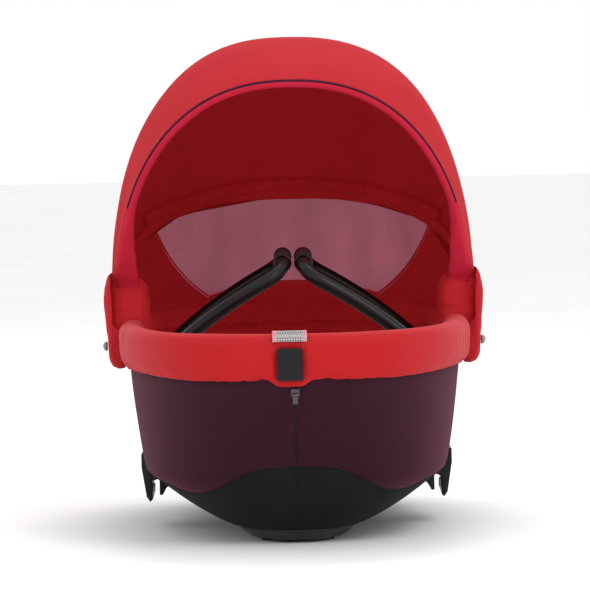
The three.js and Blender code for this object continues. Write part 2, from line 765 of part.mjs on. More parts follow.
const handleStep = handlePath(1).getLength() / handleSteps;
const gripLength = 2 * (armSpread - cornerRun - gripCapLength - handleStep);
for (const [side, sign] of sides) {
  let handle = tube(handlePath(sign), handleTubeRadius, 5, handleSteps);
  for (const [end, y] of [
    ["foot", -armSpread],
    ["head", armSpread],
  ]) {
    const hole = bar("y", handlePinRadius + handlePinGap, y - 40, y + 40, [sign * armPivotX, armPivotZ]);
    handle = handle.subtract(hole);
    const cheekIn = handleTubeRadius + 0.8;
    const cheekOut = cheekIn + cheekThickness;
    const backX = armPivotX + clevisBack;
    const xs = (a, b) => (sign > 0 ? [a, b] : [-b, -a]);
    const [backFrom, backTo] = xs(backX, backX + cheekThickness);
    const [cheekFrom, cheekTo] = xs(armPivotX - 10, backX + cheekThickness);
    const high = armPivotZ + 8;
    let clevis = block([backFrom, y - cheekOut, clevisLow], [backTo, y + cheekOut, high]);
    clevis = clevis
      .add(block([cheekFrom, y - cheekOut, armPivotZ - 10], [cheekTo, y - cheekIn, high]))
      .add(block([cheekFrom, y + cheekIn, armPivotZ - 10], [cheekTo, y + cheekOut, high]))
      .add(bar("y", handlePinRadius, y - cheekIn - 1, y + cheekIn + 1, [sign * armPivotX, armPivotZ]));
    piece(`handle_clevis_${end}_${side}`, clevis, black, 0.5);
    const gripEnd = gripLength / 2;
    const capRange = [gripEnd + fit, gripEnd + gripCapLength];
    const [from, to] = y > 0 ? capRange : [-capRange[1], -capRange[0]];
    piece(
      `grip_cap_${end}_${side}`,
      sleeve(handleTubeRadius + fit, gripRadius + 0.6, from, to, sign * gripX, gripZ),
      "#0f0f11",
      0.2,
    );
  }
  piece(`handle_tube_${side}`, handle, "#0e0e10", 0.12);
  piece(
    `handle_grip_${side}`,
    sleeve(handleTubeRadius + fit, gripRadius, -gripLength / 2, gripLength / 2, sign * gripX, gripZ),
    "#2a2728",
    0.6,
  );
}

// Chassis connectors: a hook under each chine, with a sprung latch through its outer prong.
const hullBlank = filled(stations.slice(1).map((z) => [fit, z]));
for (const [side, sign] of sides) {
  const prong = chineHalfWidth - 5;
  const flange = prong - connectorSlot;
  const profile = [
    [chineHalfWidth + 7.5, chineHeight + 14],
    [chineHalfWidth + 7.5, chineHeight - 2],
    [chineHalfWidth + 2, connectorFoot + 6],
    [prong + 3, connectorFoot],
    [prong, connectorFoot + 3],
    [prong, chineHeight - 18],
    [flange, chineHeight - 15],
    [flange, connectorFoot + 8],
    [flange - 3.5, connectorFoot + 8],
    [flange - 8, chineHeight - 26],
    [flange - 22, chineHeight - 14],
    [flange - 22, chineHeight + 14],
  ].map(([x, z]) => [sign * x, z]);
  const half = connectorLength / 2;
  const slotLow = connectorFoot + 9;
  const slotHigh = connectorFoot + 19;
  const xs = (a, b) => (sign > 0 ? [a, b] : [-b, -a]);
  const [cutFrom, cutTo] = xs(prong - 2, chineHalfWidth + 20);
  const hook = plate("y", outlineOf(profile), -half, half)
    .subtract(hullBlank)
    .subtract(block([cutFrom, -11, slotLow], [cutTo, 11, slotHigh]));
  piece(`connector_${side}`, hook, black, 0.4);
  const [latchFrom, latchTo] = xs(prong - latchNose, chineHalfWidth + 2.5);
  piece(
    `connector_latch_${side}`,
    block([latchFrom, -11 + fit, slotLow + fit], [latchTo, 11 - fit, slotHigh - fit]),
    "#3a3a3c",
    0.35,
  );
}

export default group;
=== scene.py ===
import math
import bmesh
import bpy
from mathutils import Matrix, Vector, noise


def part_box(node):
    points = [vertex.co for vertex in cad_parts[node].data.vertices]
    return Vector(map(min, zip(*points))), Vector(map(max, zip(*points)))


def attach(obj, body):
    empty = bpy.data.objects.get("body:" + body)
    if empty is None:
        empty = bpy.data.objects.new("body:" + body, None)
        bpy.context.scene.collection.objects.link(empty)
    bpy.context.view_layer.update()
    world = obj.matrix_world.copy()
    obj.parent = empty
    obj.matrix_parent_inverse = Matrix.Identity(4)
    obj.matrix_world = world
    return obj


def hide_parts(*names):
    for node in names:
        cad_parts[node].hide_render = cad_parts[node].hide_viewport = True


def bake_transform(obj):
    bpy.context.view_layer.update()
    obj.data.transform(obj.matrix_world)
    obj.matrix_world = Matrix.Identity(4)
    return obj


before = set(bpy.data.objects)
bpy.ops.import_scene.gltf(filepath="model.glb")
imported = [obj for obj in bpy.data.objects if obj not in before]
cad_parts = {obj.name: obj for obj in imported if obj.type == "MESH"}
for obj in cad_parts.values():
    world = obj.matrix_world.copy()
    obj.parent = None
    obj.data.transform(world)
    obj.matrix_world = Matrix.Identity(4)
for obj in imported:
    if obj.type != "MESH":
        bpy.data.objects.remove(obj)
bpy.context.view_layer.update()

mm = 0.001  # every size below is in metres, written as millimetres


def lerp(a, b, t):
    return a + (b - a) * t


def ease(low, high, value):
    t = min(max((value - low) / (high - low), 0.0), 1.0)
    return t * t * (3 - 2 * t)


def bend(value, exponent):
    return math.copysign(abs(value) ** exponent, value)


def ripple(x, y, z):
    return noise.noise(Vector((x, y, z)))


def quadratic(a, b, c, count):
    return [a.lerp(b, t / count).lerp(b.lerp(c, t / count), t / count) for t in range(count)]


def between(rows, share):
    # the pair of values at a share of the way through the rows
    spot = share * (len(rows) - 1)
    index = min(int(spot), len(rows) - 2)
    (a1, b1), (a2, b2) = rows[index], rows[index + 1]
    return lerp(a1, a2, spot - index), lerp(b1, b2, spot - index)


# ---- room, light and camera
studio = {
    "floorSize": 60.0,
    "eye": Vector((0.0, -5.195, 0.466)),
    "lens": 274.6,  # long lens, so the far hood keeps its size
    "pitch": 2.23,
    "roll": -1.1,
    "turn": -0.02,
}


def areaLight(name, place, target, size, strength):
    light = bpy.data.lights.new(name, "AREA")
    light.shape = "DISK"
    light.size = size
    light.energy = strength
    holder = bpy.data.objects.new(name, light)
    bpy.context.collection.objects.link(holder)
    holder.location = place
    holder.rotation_euler = (Vector(target) - Vector(place)).to_track_quat("-Z", "Y").to_euler()
    return holder


def setStudio():
    scene = bpy.context.scene
    scene.view_settings.view_transform = "Standard"
    world = bpy.data.worlds.new("paleRoom")
    world.use_nodes = True
    world.node_tree.nodes["Background"].inputs["Color"].default_value = (1.0, 1.0, 1.0, 1)
    world.node_tree.nodes["Background"].inputs["Strength"].default_value = 1.0
    scene.world = world
    areaLight("keyLight", (2.0, -3.2, 3.4), (0, 0, 0.3), 2.2, 60)
    areaLight("fillLight", (-2.6, -3.4, 1.6), (0, 0, 0.25), 2.4, 8)
    areaLight("topLight", (0.2, 1.6, 3.6), (0, 0.1, 0.3), 2.0, 45)
    floor = bmesh.new()
    bmesh.ops.create_grid(floor, x_segments=1, y_segments=1, size=studio["floorSize"] / 2)
    mesh = bpy.data.meshes.new("studioFloor")
    floor.to_mesh(mesh)
    floor.free()
    holder = bpy.data.objects.new("studioFloor", mesh)
    scene.collection.objects.link(holder)
    mesh.materials.append(paleFloor())
    camera = bpy.data.cameras.new("studioCamera")
    camera.lens = studio["lens"]
    camera.sensor_width = 36
    camera.clip_end = 200
    view = bpy.data.objects.new("studioCamera", camera)
    scene.collection.objects.link(view)
    view.location = studio["eye"]
    aim = Matrix.Rotation(math.radians(studio["turn"]), 4, "Z")
    aim @= Matrix.Rotation(math.radians(90 - studio["pitch"]), 4, "X")
    aim @= Matrix.Rotation(math.radians(studio["roll"]), 4, "Z")
    view.rotation_euler = aim.to_euler()
    scene.camera = view


# ---- materials
def addNode(tree, kind, inputs=None, **settings):
    node = tree.nodes.new(kind)
    for key, value in settings.items():
        setattr(node, key, value)
    for key, value in (inputs or {}).items():
        if isinstance(value, bpy.types.NodeSocket):
            tree.links.new(value, node.inputs[key])
        else:
            node.inputs[key].default_value = value
    return node


def mathNode(tree, operation, first, second=0.0, clamp=False):
    node = addNode(tree, "ShaderNodeMath", {0: first, 1: second}, operation=operation)
    node.use_clamp = clamp
    return node.outputs[0]


def mixColour(tree, factor, first, second, blend="MIX"):
    node = tree.nodes.new("ShaderNodeMix")
    node.data_type = "RGBA"
    node.blend_type = blend
    for index, value in ((0, factor), (6, first), (7, second)):
        if isinstance(value, bpy.types.NodeSocket):
            tree.links.new(value, node.inputs[index])
        elif index == 0:
            node.inputs[index].default_value = value
        else:
            node.inputs[index].default_value = (*value, 1)
    return node.outputs[2]


def rangeNode(tree, value, fromLow, fromHigh, low, high):
    limits = {"From Min": fromLow, "From Max": fromHigh, "To Min": low, "To Max": high}
    return addNode(tree, "ShaderNodeMapRange", {"Value": value, **limits}).outputs["Result"]


def newGroup(name, inputs, outputs):
    group = bpy.data.node_groups.new(name, "ShaderNodeTree")
    for label, kind, value in inputs:
        socket = group.interface.new_socket(label, in_out="INPUT", socket_type=kind)
        if value is not None:
            socket.default_value = value
    for label, kind in outputs:
        group.interface.new_socket(label, in_out="OUTPUT", socket_type=kind)
    return group, group.nodes.new("NodeGroupInput"), group.nodes.new("NodeGroupOutput")


def makeWeave():
    # over and under threads, read in metres
    group, start, end = newGroup(
        "wovenThreads",
        [("Vector", "NodeSocketVector", None), ("Thread", "NodeSocketFloat", 0.0009)],
        [("Height", "NodeSocketFloat"), ("Shade", "NodeSocketFloat")],
    )
    turns = mathNode(group, "DIVIDE", math.pi, start.outputs["Thread"])
    scaled = addNode(group, "ShaderNodeVectorMath", {0: start.outputs["Vector"]}, operation="SCALE")
    group.links.new(turns, scaled.inputs["Scale"])
    split = addNode(group, "ShaderNodeSeparateXYZ", {0: scaled.outputs[0]})
    waves = [mathNode(group, "SINE", split.outputs[axis]) for axis in range(3)]
    pairs = [mathNode(group, "MULTIPLY", waves[a], waves[b]) for a, b in ((0, 1), (1, 2), (0, 2))]
    total = mathNode(group, "ADD", mathNode(group, "ADD", pairs[0], pairs[1]), pairs[2])
    group.links.new(total, end.inputs["Height"])
    group.links.new(rangeNode(group, total, -1.5, 1.5, 0.965, 1.025), end.inputs["Shade"])
    return group


def makeMottle():
    # slow colour drift with a finer speckle in it
    group, start, end = newGroup(
        "clothMottle",
        [("Vector", "NodeSocketVector", None), ("Scale", "NodeSocketFloat", 14.0)],
        [("Drift", "NodeSocketFloat"), ("Speckle", "NodeSocketFloat")],
    )
    slow = addNode(group, "ShaderNodeTexNoise", {"Vector": start.outputs["Vector"], "Detail": 4.0})
    group.links.new(start.outputs["Scale"], slow.inputs["Scale"])
    fine = addNode(group, "ShaderNodeTexNoise", {"Vector": start.outputs["Vector"], "Detail": 3.0})
    group.links.new(mathNode(group, "MULTIPLY", start.outputs["Scale"], 40.0), fine.inputs["Scale"])
    group.links.new(rangeNode(group, slow.outputs[0], 0.3, 0.7, 0.0, 1.0), end.inputs["Drift"])
    group.links.new(rangeNode(group, fine.outputs[0], 0.25, 0.75, 0.0, 1.0), end.inputs["Speckle"])
    return group


def makeGrain():
    # moulded grain: small dimples and a faint handling haze
    group, start, end = newGroup(
        "mouldedGrain",
        [("Vector", "NodeSocketVector", None), ("Scale", "NodeSocketFloat", 900.0)],
        [("Height", "NodeSocketFloat"), ("Haze", "NodeSocketFloat")],
    )
    cells = addNode(group, "ShaderNodeTexVoronoi", {"Vector": start.outputs["Vector"]})
    group.links.new(start.outputs["Scale"], cells.inputs["Scale"])
    haze = addNode(group, "ShaderNodeTexNoise", {"Scale": 22.0, "Detail": 5.0})
    group.links.new(start.outputs["Vector"], haze.inputs["Vector"])
    group.links.new(cells.outputs["Distance"], end.inputs["Height"])
    group.links.new(rangeNode(group, haze.outputs[0], 0.35, 0.7, 0.0, 1.0), end.inputs["Haze"])
    return group


weaveGroup, mottleGroup, grainGroup = makeWeave(), makeMottle(), makeGrain()


def startMaterial(name, roughness, **sockets):
    material = bpy.data.materials.new(name)
    material.use_nodes = True
    tree = material.node_tree
    shader = tree.nodes["Principled BSDF"]
    shader.inputs["Roughness"].default_value = roughness
    for key, value in sockets.items():
        shader.inputs[key].default_value = value
    place = addNode(tree, "ShaderNodeTexCoord").outputs["Object"]
    return material, tree, shader, place


def placeGroup(tree, group, place, **values):
    node = addNode(tree, "ShaderNodeGroup", node_tree=group)
    tree.links.new(place, node.inputs["Vector"])
    for key, value in values.items():
        node.inputs[key].default_value = value
    return node


def bumpInto(tree, shader, height, strength, distance):
    node = addNode(tree, "ShaderNodeBump", {"Height": height, "Strength": strength, "Distance": distance})
    tree.links.new(node.outputs[0], shader.inputs["Normal"])


def wovenCloth(
    name, colour, deep, thread=0.9 * mm, roughness=0.86, sheen=0.04, drift=14.0, edge=None, paintedGlow=0.0
):
    material, tree, shader, place = startMaterial(name, roughness)
    shader.inputs["Sheen Weight"].default_value = sheen
    shader.inputs["Sheen Roughness"].default_value = 0.45
    shader.inputs["Sheen Tint"].default_value = (*(edge or colour), 1)
    shader.inputs["Specular IOR Level"].default_value = 0.1
    weave = placeGroup(tree, weaveGroup, place, Thread=thread)
    mottle = placeGroup(tree, mottleGroup, place, Scale=drift)
    body = mixColour(tree, mottle.outputs["Drift"], colour, deep)
    shade = addNode(tree, "ShaderNodeCombineColor", {i: weave.outputs["Shade"] for i in range(3)})
    tone = mixColour(tree, 1.0, body, shade.outputs[0], "MULTIPLY")
    tree.links.new(tone, shader.inputs["Base Color"])
    tree.links.new(tone, shader.inputs["Emission Color"])
    shader.inputs["Emission Strength"].default_value = paintedGlow  # painted glow: emission standing in for daylight coming through thin cloth
    height = mathNode(tree, "ADD", weave.outputs["Height"], mottle.outputs["Speckle"])
    bumpInto(tree, shader, height, 0.16, 0.2 * mm)
    return material


def velour(name, colour, sheenColour, startX, endX):
    # short pile: smooth and deep in the middle, with painted sheen lighter toward the ends and the top edge
    material, tree, shader, place = startMaterial(name, 0.92)
    shader.inputs["Sheen Weight"].default_value = 0.16
    shader.inputs["Sheen Roughness"].default_value = 0.35
    shader.inputs["Sheen Tint"].default_value = (1.0, 0.55, 0.55, 1)
    shader.inputs["Specular IOR Level"].default_value = 0.15
    mottle = placeGroup(tree, mottleGroup, place, Scale=22.0)
    split = addNode(tree, "ShaderNodeSeparateXYZ", {0: place})
    # painted sheen mask: lighter toward the ends and toward the top edge, broken into patches by the mottle
    fromMiddle = mathNode(tree, "ABSOLUTE", split.outputs["X"])
    side = rangeNode(tree, fromMiddle, startX, endX, 0.0, 1.0)
    high = rangeNode(tree, split.outputs["Z"], 0.224, 0.241, 0.0, 0.6)
    paintedSheen = mathNode(tree, "MAXIMUM", side, high)
    patches = rangeNode(tree, mottle.outputs["Drift"], 0.0, 1.0, 0.45, 1.1)
    mask = mathNode(tree, "MULTIPLY", paintedSheen, patches, clamp=True)
    pileAndSheen = mixColour(tree, mask, colour, sheenColour)
    tone = rangeNode(tree, mottle.outputs["Speckle"], 0.0, 1.0, 0.9, 1.08)
    shade = addNode(tree, "ShaderNodeCombineColor", {i: tone for i in range(3)})
    tree.links.new(mixColour(tree, 1.0, pileAndSheen, shade.outputs[0], "MULTIPLY"), shader.inputs["Base Color"])
    tuft = addNode(tree, "ShaderNodeTexNoise", {"Vector": place, "Scale": 1400.0, "Detail": 2.0})
    bumpInto(tree, shader, mathNode(tree, "ADD", tuft.outputs[0], mottle.outputs["Drift"]), 0.4, 0.5 * mm)
    return material


def moulded(name, colour, roughness, grain=900.0, depth=0.12, coat=0.0, metal=0.0):
    material, tree, shader, place = startMaterial(name, roughness)
    shader.inputs["Coat Weight"].default_value = coat
    shader.inputs["Coat Roughness"].default_value = 0.08
    shader.inputs["Metallic"].default_value = metal
    shader.inputs["Specular IOR Level"].default_value = 0.5 if metal else 0.22
    texture = placeGroup(tree, grainGroup, place, Scale=grain)
    haze = texture.outputs["Haze"]
    lighter = tuple(min(channel * 1.6 + 0.004, 1) for channel in colour)
    tree.links.new(mixColour(tree, haze, colour, lighter), shader.inputs["Base Color"])
    rough = rangeNode(tree, haze, 0.0, 1.0, roughness * 0.85, min(roughness * 1.25, 1))
    tree.links.new(rough, shader.inputs["Roughness"])
    bumpInto(tree, shader, texture.outputs["Height"], depth, 0.15 * mm)
    return material


def netting(name, colour, hole):
    # fine net: threads stand, holes let light through
    material, tree, shader, place = startMaterial(name, 0.6)
    shader.inputs["Sheen Weight"].default_value = 0.3
    shader.inputs["Sheen Tint"].default_value = (1.0, 0.8, 0.9, 1)
    weave = placeGroup(tree, weaveGroup, place, Thread=hole)
    mottle = placeGroup(tree, mottleGroup, place, Scale=9.0)
    # painted sheen: paler vertical streaks across the net, placed by stretched noise
    streak = addNode(tree, "ShaderNodeMapping", {"Vector": place, "Scale": (26.0, 26.0, 3.0)})
    folds = addNode(tree, "ShaderNodeTexNoise", {"Vector": streak.outputs[0], "Scale": 1.0, "Detail": 3.0})
    light = rangeNode(tree, folds.outputs[0], 0.35, 0.68, 0.0, 1.0)
    streakSheen = tuple(min(channel * 1.45, 1) for channel in colour)
    body = mixColour(tree, light, colour, streakSheen)
    tone = mixColour(tree, mottle.outputs["Drift"], body, colour)
    tree.links.new(tone, shader.inputs["Base Color"])
    tree.links.new(tone, shader.inputs["Emission Color"])
    shader.inputs["Emission Strength"].default_value = 0.42  # painted glow: emission standing in for daylight passing through the net
    threads = rangeNode(tree, weave.outputs["Height"], -0.4, 0.5, 0.8, 0.96)
    tree.links.new(threads, shader.inputs["Alpha"])
    bumpInto(tree, shader, weave.outputs["Height"], 0.3, 0.2 * mm)
    return material


def checkedTape(name, pale, dark, border):
    # grey check with a coloured woven border at its two ends
    material, tree, shader, place = startMaterial(name, 0.35)
    shader.inputs["Coat Weight"].default_value = 0.4
    centre = addNode(tree, "ShaderNodeMapping", {"Vector": place, "Rotation": (0.0, math.radians(45), 0.0)})
    check = addNode(tree, "ShaderNodeTexChecker", {"Vector": centre.outputs[0], "Scale": 520.0})
    check.inputs["Color1"].default_value = (*pale, 1)
    check.inputs["Color2"].default_value = (*dark, 1)
    split = addNode(tree, "ShaderNodeSeparateXYZ", {0: place})
    across = mathNode(tree, "ABSOLUTE", mathNode(tree, "ADD", split.outputs["X"], 5 * mm))
    edge = rangeNode(tree, across, 14.0 * mm, 14.6 * mm, 0.0, 1.0)
    weave = placeGroup(tree, weaveGroup, place, Thread=1.1 * mm)
    fringe = mixColour(tree, rangeNode(tree, weave.outputs["Height"], -0.3, 0.3, 0.0, 1.0), border, pale)
    tree.links.new(mixColour(tree, edge, check.outputs[0], fringe), shader.inputs["Base Color"])
    bumpInto(tree, shader, weave.outputs["Height"], 0.3, 0.2 * mm)
    return material


def paleFloor():
    material, tree, shader, place = startMaterial("paleFloor", 0.9)
    mottle = placeGroup(tree, mottleGroup, place, Scale=2.0)
    tone = mixColour(tree, mottle.outputs["Drift"], (0.93, 0.93, 0.93), (0.9, 0.9, 0.9))
    tree.links.new(tone, shader.inputs["Base Color"])
    shader.inputs["Specular IOR Level"].default_value = 0.1
    return material


# hood, facing and lining cloth carry a painted glow (emission) standing in for light through the cloth
hoodCloth = wovenCloth("hoodCloth", (0.39, 0.015, 0.021), (0.36, 0.0125, 0.018), 0.8 * mm, paintedGlow=0.22)
facingCloth = wovenCloth("facingCloth", (0.5, 0.016, 0.045), (0.44, 0.013, 0.036), 0.8 * mm, paintedGlow=0.1)
liningCloth = wovenCloth("liningCloth", (0.42, 0.016, 0.02), (0.36, 0.013, 0.017), 0.9 * mm, paintedGlow=0.2)
apronVelour = velour("apronVelour", (0.45, 0.013, 0.015), (0.46, 0.03, 0.042), 0.1, 0.2)
burgundyCloth = wovenCloth(
    "burgundyCloth", (0.03, 0.0065, 0.0135), (0.027, 0.0058, 0.012),
    1.0 * mm, 0.8, 0.2, 12.0, (0.6, 0.14, 0.22),
)
blackCloth = wovenCloth("blackCloth", (0.012, 0.013, 0.015), (0.009, 0.0095, 0.011), 1.0 * mm, 0.8, 0.15)
windowNet = netting("windowNet", (0.3, 0.085, 0.13), 1.1 * mm)
plumCord = wovenCloth("plumCord", (0.06, 0.012, 0.03), (0.045, 0.01, 0.022), 0.6 * mm)
reflectiveTape = checkedTape("reflectiveTape", (0.48, 0.44, 0.45), (0.1, 0.095, 0.1), (0.6, 0.12, 0.17))
glossBlack = moulded("glossBlack", (0.003, 0.003, 0.0035), 0.34, 600.0, 0.02, 0.04)
mouldedBlack = moulded("mouldedBlack", (0.016, 0.016, 0.018), 0.42, 1100.0, 0.12)
gripRubber = moulded("gripRubber", (0.02, 0.018, 0.018), 0.6, 1500.0, 0.25)
skidRubber = moulded("skidRubber", (0.012, 0.012, 0.012), 0.8, 1300.0, 0.3)
snapSteel = moulded("snapSteel", (0.2, 0.195, 0.2), 0.3, 1600.0, 0.05, 0.0, 1.0)
zipSteel = moulded("zipSteel", (0.06, 0.06, 0.065), 0.3, 1600.0, 0.05, 0.0, 1.0)
latchSteel = moulded("latchSteel", (0.3, 0.3, 0.31), 0.35, 1600.0, 0.06, 0.0, 1.0)
rimPaint = moulded("rimPaint", (0.02, 0.02, 0.022), 0.4, 900.0, 0.05)
fibreBoard = moulded("fibreBoard", (0.22, 0.17, 0.11), 0.85, 500.0, 0.3)
jersey = wovenCloth("jersey", (0.7, 0.67, 0.62), (0.64, 0.61, 0.56), 1.2 * mm, 0.9, 0.3)
print("materials ready")


# ---- mesh helpers
def gridSheet(across, along, place, wrap=False, width=1.0, length=1.0):
    bm = bmesh.new()
    uv = bm.loops.layers.uv.new("cloth")
    bmesh.ops.create_grid(bm, x_segments=across, y_segments=along, size=0.5, calc_uvs=True)
    for face in bm.faces:
        for loop in face.loops:
            loop[uv].uv = ((loop.vert.co.x + 0.5) * width, (loop.vert.co.y + 0.5) * length)
    for vert in bm.verts:
        vert.co = place(vert.co.x + 0.5, vert.co.y + 0.5)
    if wrap:
        bmesh.ops.remove_doubles(bm, verts=bm.verts, dist=0.01 * mm)
    bmesh.ops.recalc_face_normals(bm, faces=bm.faces)
    return bm


def spinProfile(bm, points, centre, axis, steps):
    edges = [bm.edges.new(pair) for pair in zip(points, points[1:])]
    bmesh.ops.spin(
        bm, geom=points + edges, cent=centre, axis=axis, angle=2 * math.pi, steps=steps, use_merge=True
    )
    bmesh.ops.remove_doubles(bm, verts=bm.verts, dist=0.02 * mm)


def closeEnds(bm):
    rims = [edge for edge in bm.edges if edge.is_boundary]
    bmesh.ops.holes_fill(bm, edges=rims, sides=0)
    bmesh.ops.recalc_face_normals(bm, faces=bm.faces)
    return bm


def flipSheet(bm):
    bmesh.ops.reverse_faces(bm, faces=bm.faces)
    return bm


def objectOf(name, bm, material):
    mesh = bpy.data.meshes.new(name)
    bm.to_mesh(mesh)
    bm.free()
    piece = bpy.data.objects.new(name, mesh)
    bpy.context.collection.objects.link(piece)
    mesh.materials.append(material)
    mesh.polygons.foreach_set("use_smooth", [True] * len(mesh.polygons))
    return piece


def addWall(piece, thickness, offset=-1.0):
    wall = piece.modifiers.new("wall", "SOLIDIFY")
    wall.thickness = thickness
    wall.offset = offset


def addRounding(piece, width, segments=3, angle=35):
    edge = piece.modifiers.new("edge", "BEVEL")
    edge.width = width
    edge.segments = segments
    edge.limit_method = "ANGLE"
    edge.angle_limit = math.radians(angle)
    edge.harden_normals = True


def addSmoothing(piece, levels=1):
    smooth = piece.modifiers.new("smooth", "SUBSURF")
    smooth.levels = levels
    smooth.render_levels = levels


def applyAll(piece):
    bpy.context.view_layer.update()
    ready = piece.evaluated_get(bpy.context.evaluated_depsgraph_get())
    mesh = bpy.data.meshes.new_from_object(ready)
    piece.modifiers.clear()
    old = piece.data
    piece.data = mesh
    mesh.name = piece.name
    bpy.data.meshes.remove(old)
    return piece


def joinTo(piece, body, slotName, *nodes):
    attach(piece, body)
    if nodes:
        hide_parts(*nodes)
    return piece


def tubeAlong(points, radius, closed=False, sides=4, radii=None):
    curve = bpy.data.curves.new("path", "CURVE")
    curve.dimensions = "3D"
    spline = curve.splines.new("POLY")
    spline.points.add(len(points) - 1)
    for index, point in enumerate(points):
        spline.points[index].co = (*point, 1)
        spline.points[index].radius = radii[index] if radii else 1.0
    spline.use_cyclic_u = closed
    curve.bevel_depth = radius
    curve.bevel_resolution = sides
    curve.use_fill_caps = not closed
    holder = bpy.data.objects.new("path", curve)
    bpy.context.collection.objects.link(holder)
    bpy.context.view_layer.update()
    mesh = bpy.data.meshes.new_from_object(holder.evaluated_get(bpy.context.evaluated_depsgraph_get()))
    bm = bmesh.new()
    bm.from_mesh(mesh)
    bpy.data.objects.remove(holder)
    bpy.data.curves.remove(curve)
    bpy.data.meshes.remove(mesh)
    bmesh.ops.remove_doubles(bm, verts=bm.verts, dist=0.01 * mm)
    bmesh.ops.recalc_face_normals(bm, faces=bm.faces)
    return bm


def stitchRow(points, out, pitch=4.4 * mm, length=3.0 * mm, width=0.75 * mm):
    # one small bead for each stitch, laid along the points
    bm = bmesh.new()
    travelled = 0.0
    due = pitch / 2
    for start, end in zip(points, points[1:]):
        step = (end - start).length
        while step > 1e-9 and due <= travelled + step:
            place = start.lerp(end, (due - travelled) / step)
            normal = out(place)
            ahead = (end - start).normalized()
            side = normal.cross(ahead).normalized()
            turned = Matrix((ahead * length / 2, side * width / 2, normal * width / 3)).transposed().to_4x4()
            turned.translation = place
            bmesh.ops.create_cube(bm, size=2.0, matrix=turned)
            due += pitch
        travelled += step
    return bm


def sharpCopy(name, node, material, body, slotName, width=0.8 * mm, segments=3, angle=35):
    # a CAD node's own shape with its edges rounded
    bm = bmesh.new()
    bm.from_mesh(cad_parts[node].data)
    bmesh.ops.remove_doubles(bm, verts=bm.verts, dist=0.02 * mm)
    bmesh.ops.dissolve_limit(bm, angle_limit=math.radians(1.5), verts=bm.verts, edges=bm.edges)
    bmesh.ops.recalc_face_normals(bm, faces=bm.faces)
    piece = objectOf(name, bm, material)
    addRounding(piece, width, segments, angle)
    return joinTo(piece, body, slotName, node)


def puffUp(piece, voxel, pressure, cap, frames=14):
    # remesh evenly, blow up as cloth, and keep every point near where it began
    remesh = piece.modifiers.new("even", "REMESH")
    remesh.mode = "VOXEL"
    remesh.voxel_size = voxel
    applyAll(piece)
    start = [vert.co.copy() for vert in piece.data.vertices]
    cloth = piece.modifiers.new("puff", "CLOTH")
    cloth.settings.use_pressure = True
    cloth.settings.uniform_pressure_force = pressure
    cloth.settings.effector_weights.gravity = 0
    cloth.settings.tension_stiffness = 15
    cloth.settings.bending_stiffness = 0.5
    scene = bpy.context.scene
    for count in range(1, frames + 1):
        scene.frame_set(count)
    ready = piece.evaluated_get(bpy.context.evaluated_depsgraph_get())
    moved = [vert.co.copy() for vert in ready.data.vertices]
    piece.modifiers.clear()
    for vert, first, last in zip(piece.data.vertices, start, moved):
        shift = last - first
        if shift.length > cap:
            shift *= cap / shift.length
        vert.co = first + shift
    scene.frame_set(1)
    return piece


def reshape(piece, move):
    for vert in piece.data.vertices:
        vert.co = move(vert.co.copy(), vert.normal.copy())
    piece.data.update()
    return piece


# ---- hull
hull = {
    "plinthHeight": 14 * mm,
    "plinthHalf": 72 * mm,
    "plinthFoot": 262 * mm,
    "plinthHead": 330 * mm,
    "chineHeight": 72 * mm,
    "chineHalf": 171 * mm,
    "footTop": 184 * mm,
    "footReach": 404 * mm,
    "headReach": 382 * mm,
    "rimHeight": 240 * mm,
    "rimHalf": 193 * mm,
    "seamTop": 90 * mm,
    "seamLow": 57 * mm,
    "seamSide": 67 * mm,
    "coverTop": 206 * mm,
}


def hullPoint(turn, height, out=0.0):
    low = hull["plinthHeight"]
    belly = min(max((height - low) / (hull["chineHeight"] - low), 0), 1) ** 0.7
    side = min(max((height - hull["chineHeight"]) / (hull["rimHeight"] - hull["chineHeight"]), 0), 1) ** 0.72
    lean = min(max((height - low) / (hull["footTop"] - low), 0), 1)
    tuck = min(height - low, 0) * 0.8 + out
    half = lerp(hull["plinthHalf"], hull["chineHalf"], belly) + (hull["rimHalf"] - hull["chineHalf"]) * side
    foot = lerp(hull["plinthFoot"], hull["footReach"], lean)
    head = lerp(hull["plinthHead"], hull["headReach"], lean)
    shape = 2 / lerp(3.0, 2.6, lean)
    reach = (head if math.sin(turn) > 0 else foot) + tuck
    return Vector(((half + tuck) * bend(math.cos(turn), shape), reach * bend(math.sin(turn), shape), height))


def turnAt(y, height, out=0.0):
    # the turn on the +X side where the hull's outline stands at y
    low, high = -math.pi / 2, math.pi / 2
    for _ in range(40):
        middle = (low + high) / 2
        if hullPoint(middle, height, out).y < y:
            low = middle
        else:
            high = middle
    return (low + high) / 2


def seamHeight(x):
    wide = abs(x)
    crown = hull["seamTop"] - 2.5 * mm * ease(0, 50 * mm, wide)
    flank = lerp(crown, hull["seamLow"], ease(35 * mm, 112 * mm, wide))
    return flank + (hull["seamSide"] - hull["seamLow"]) * ease(115 * mm, 162 * mm, wide)


def seamPoint(turn, out=0.0):
    height = hull["chineHeight"]
    for _ in range(12):
        height = lerp(height, seamHeight(hullPoint(turn, height).x), 0.6)
    return hullPoint(turn, height, out)


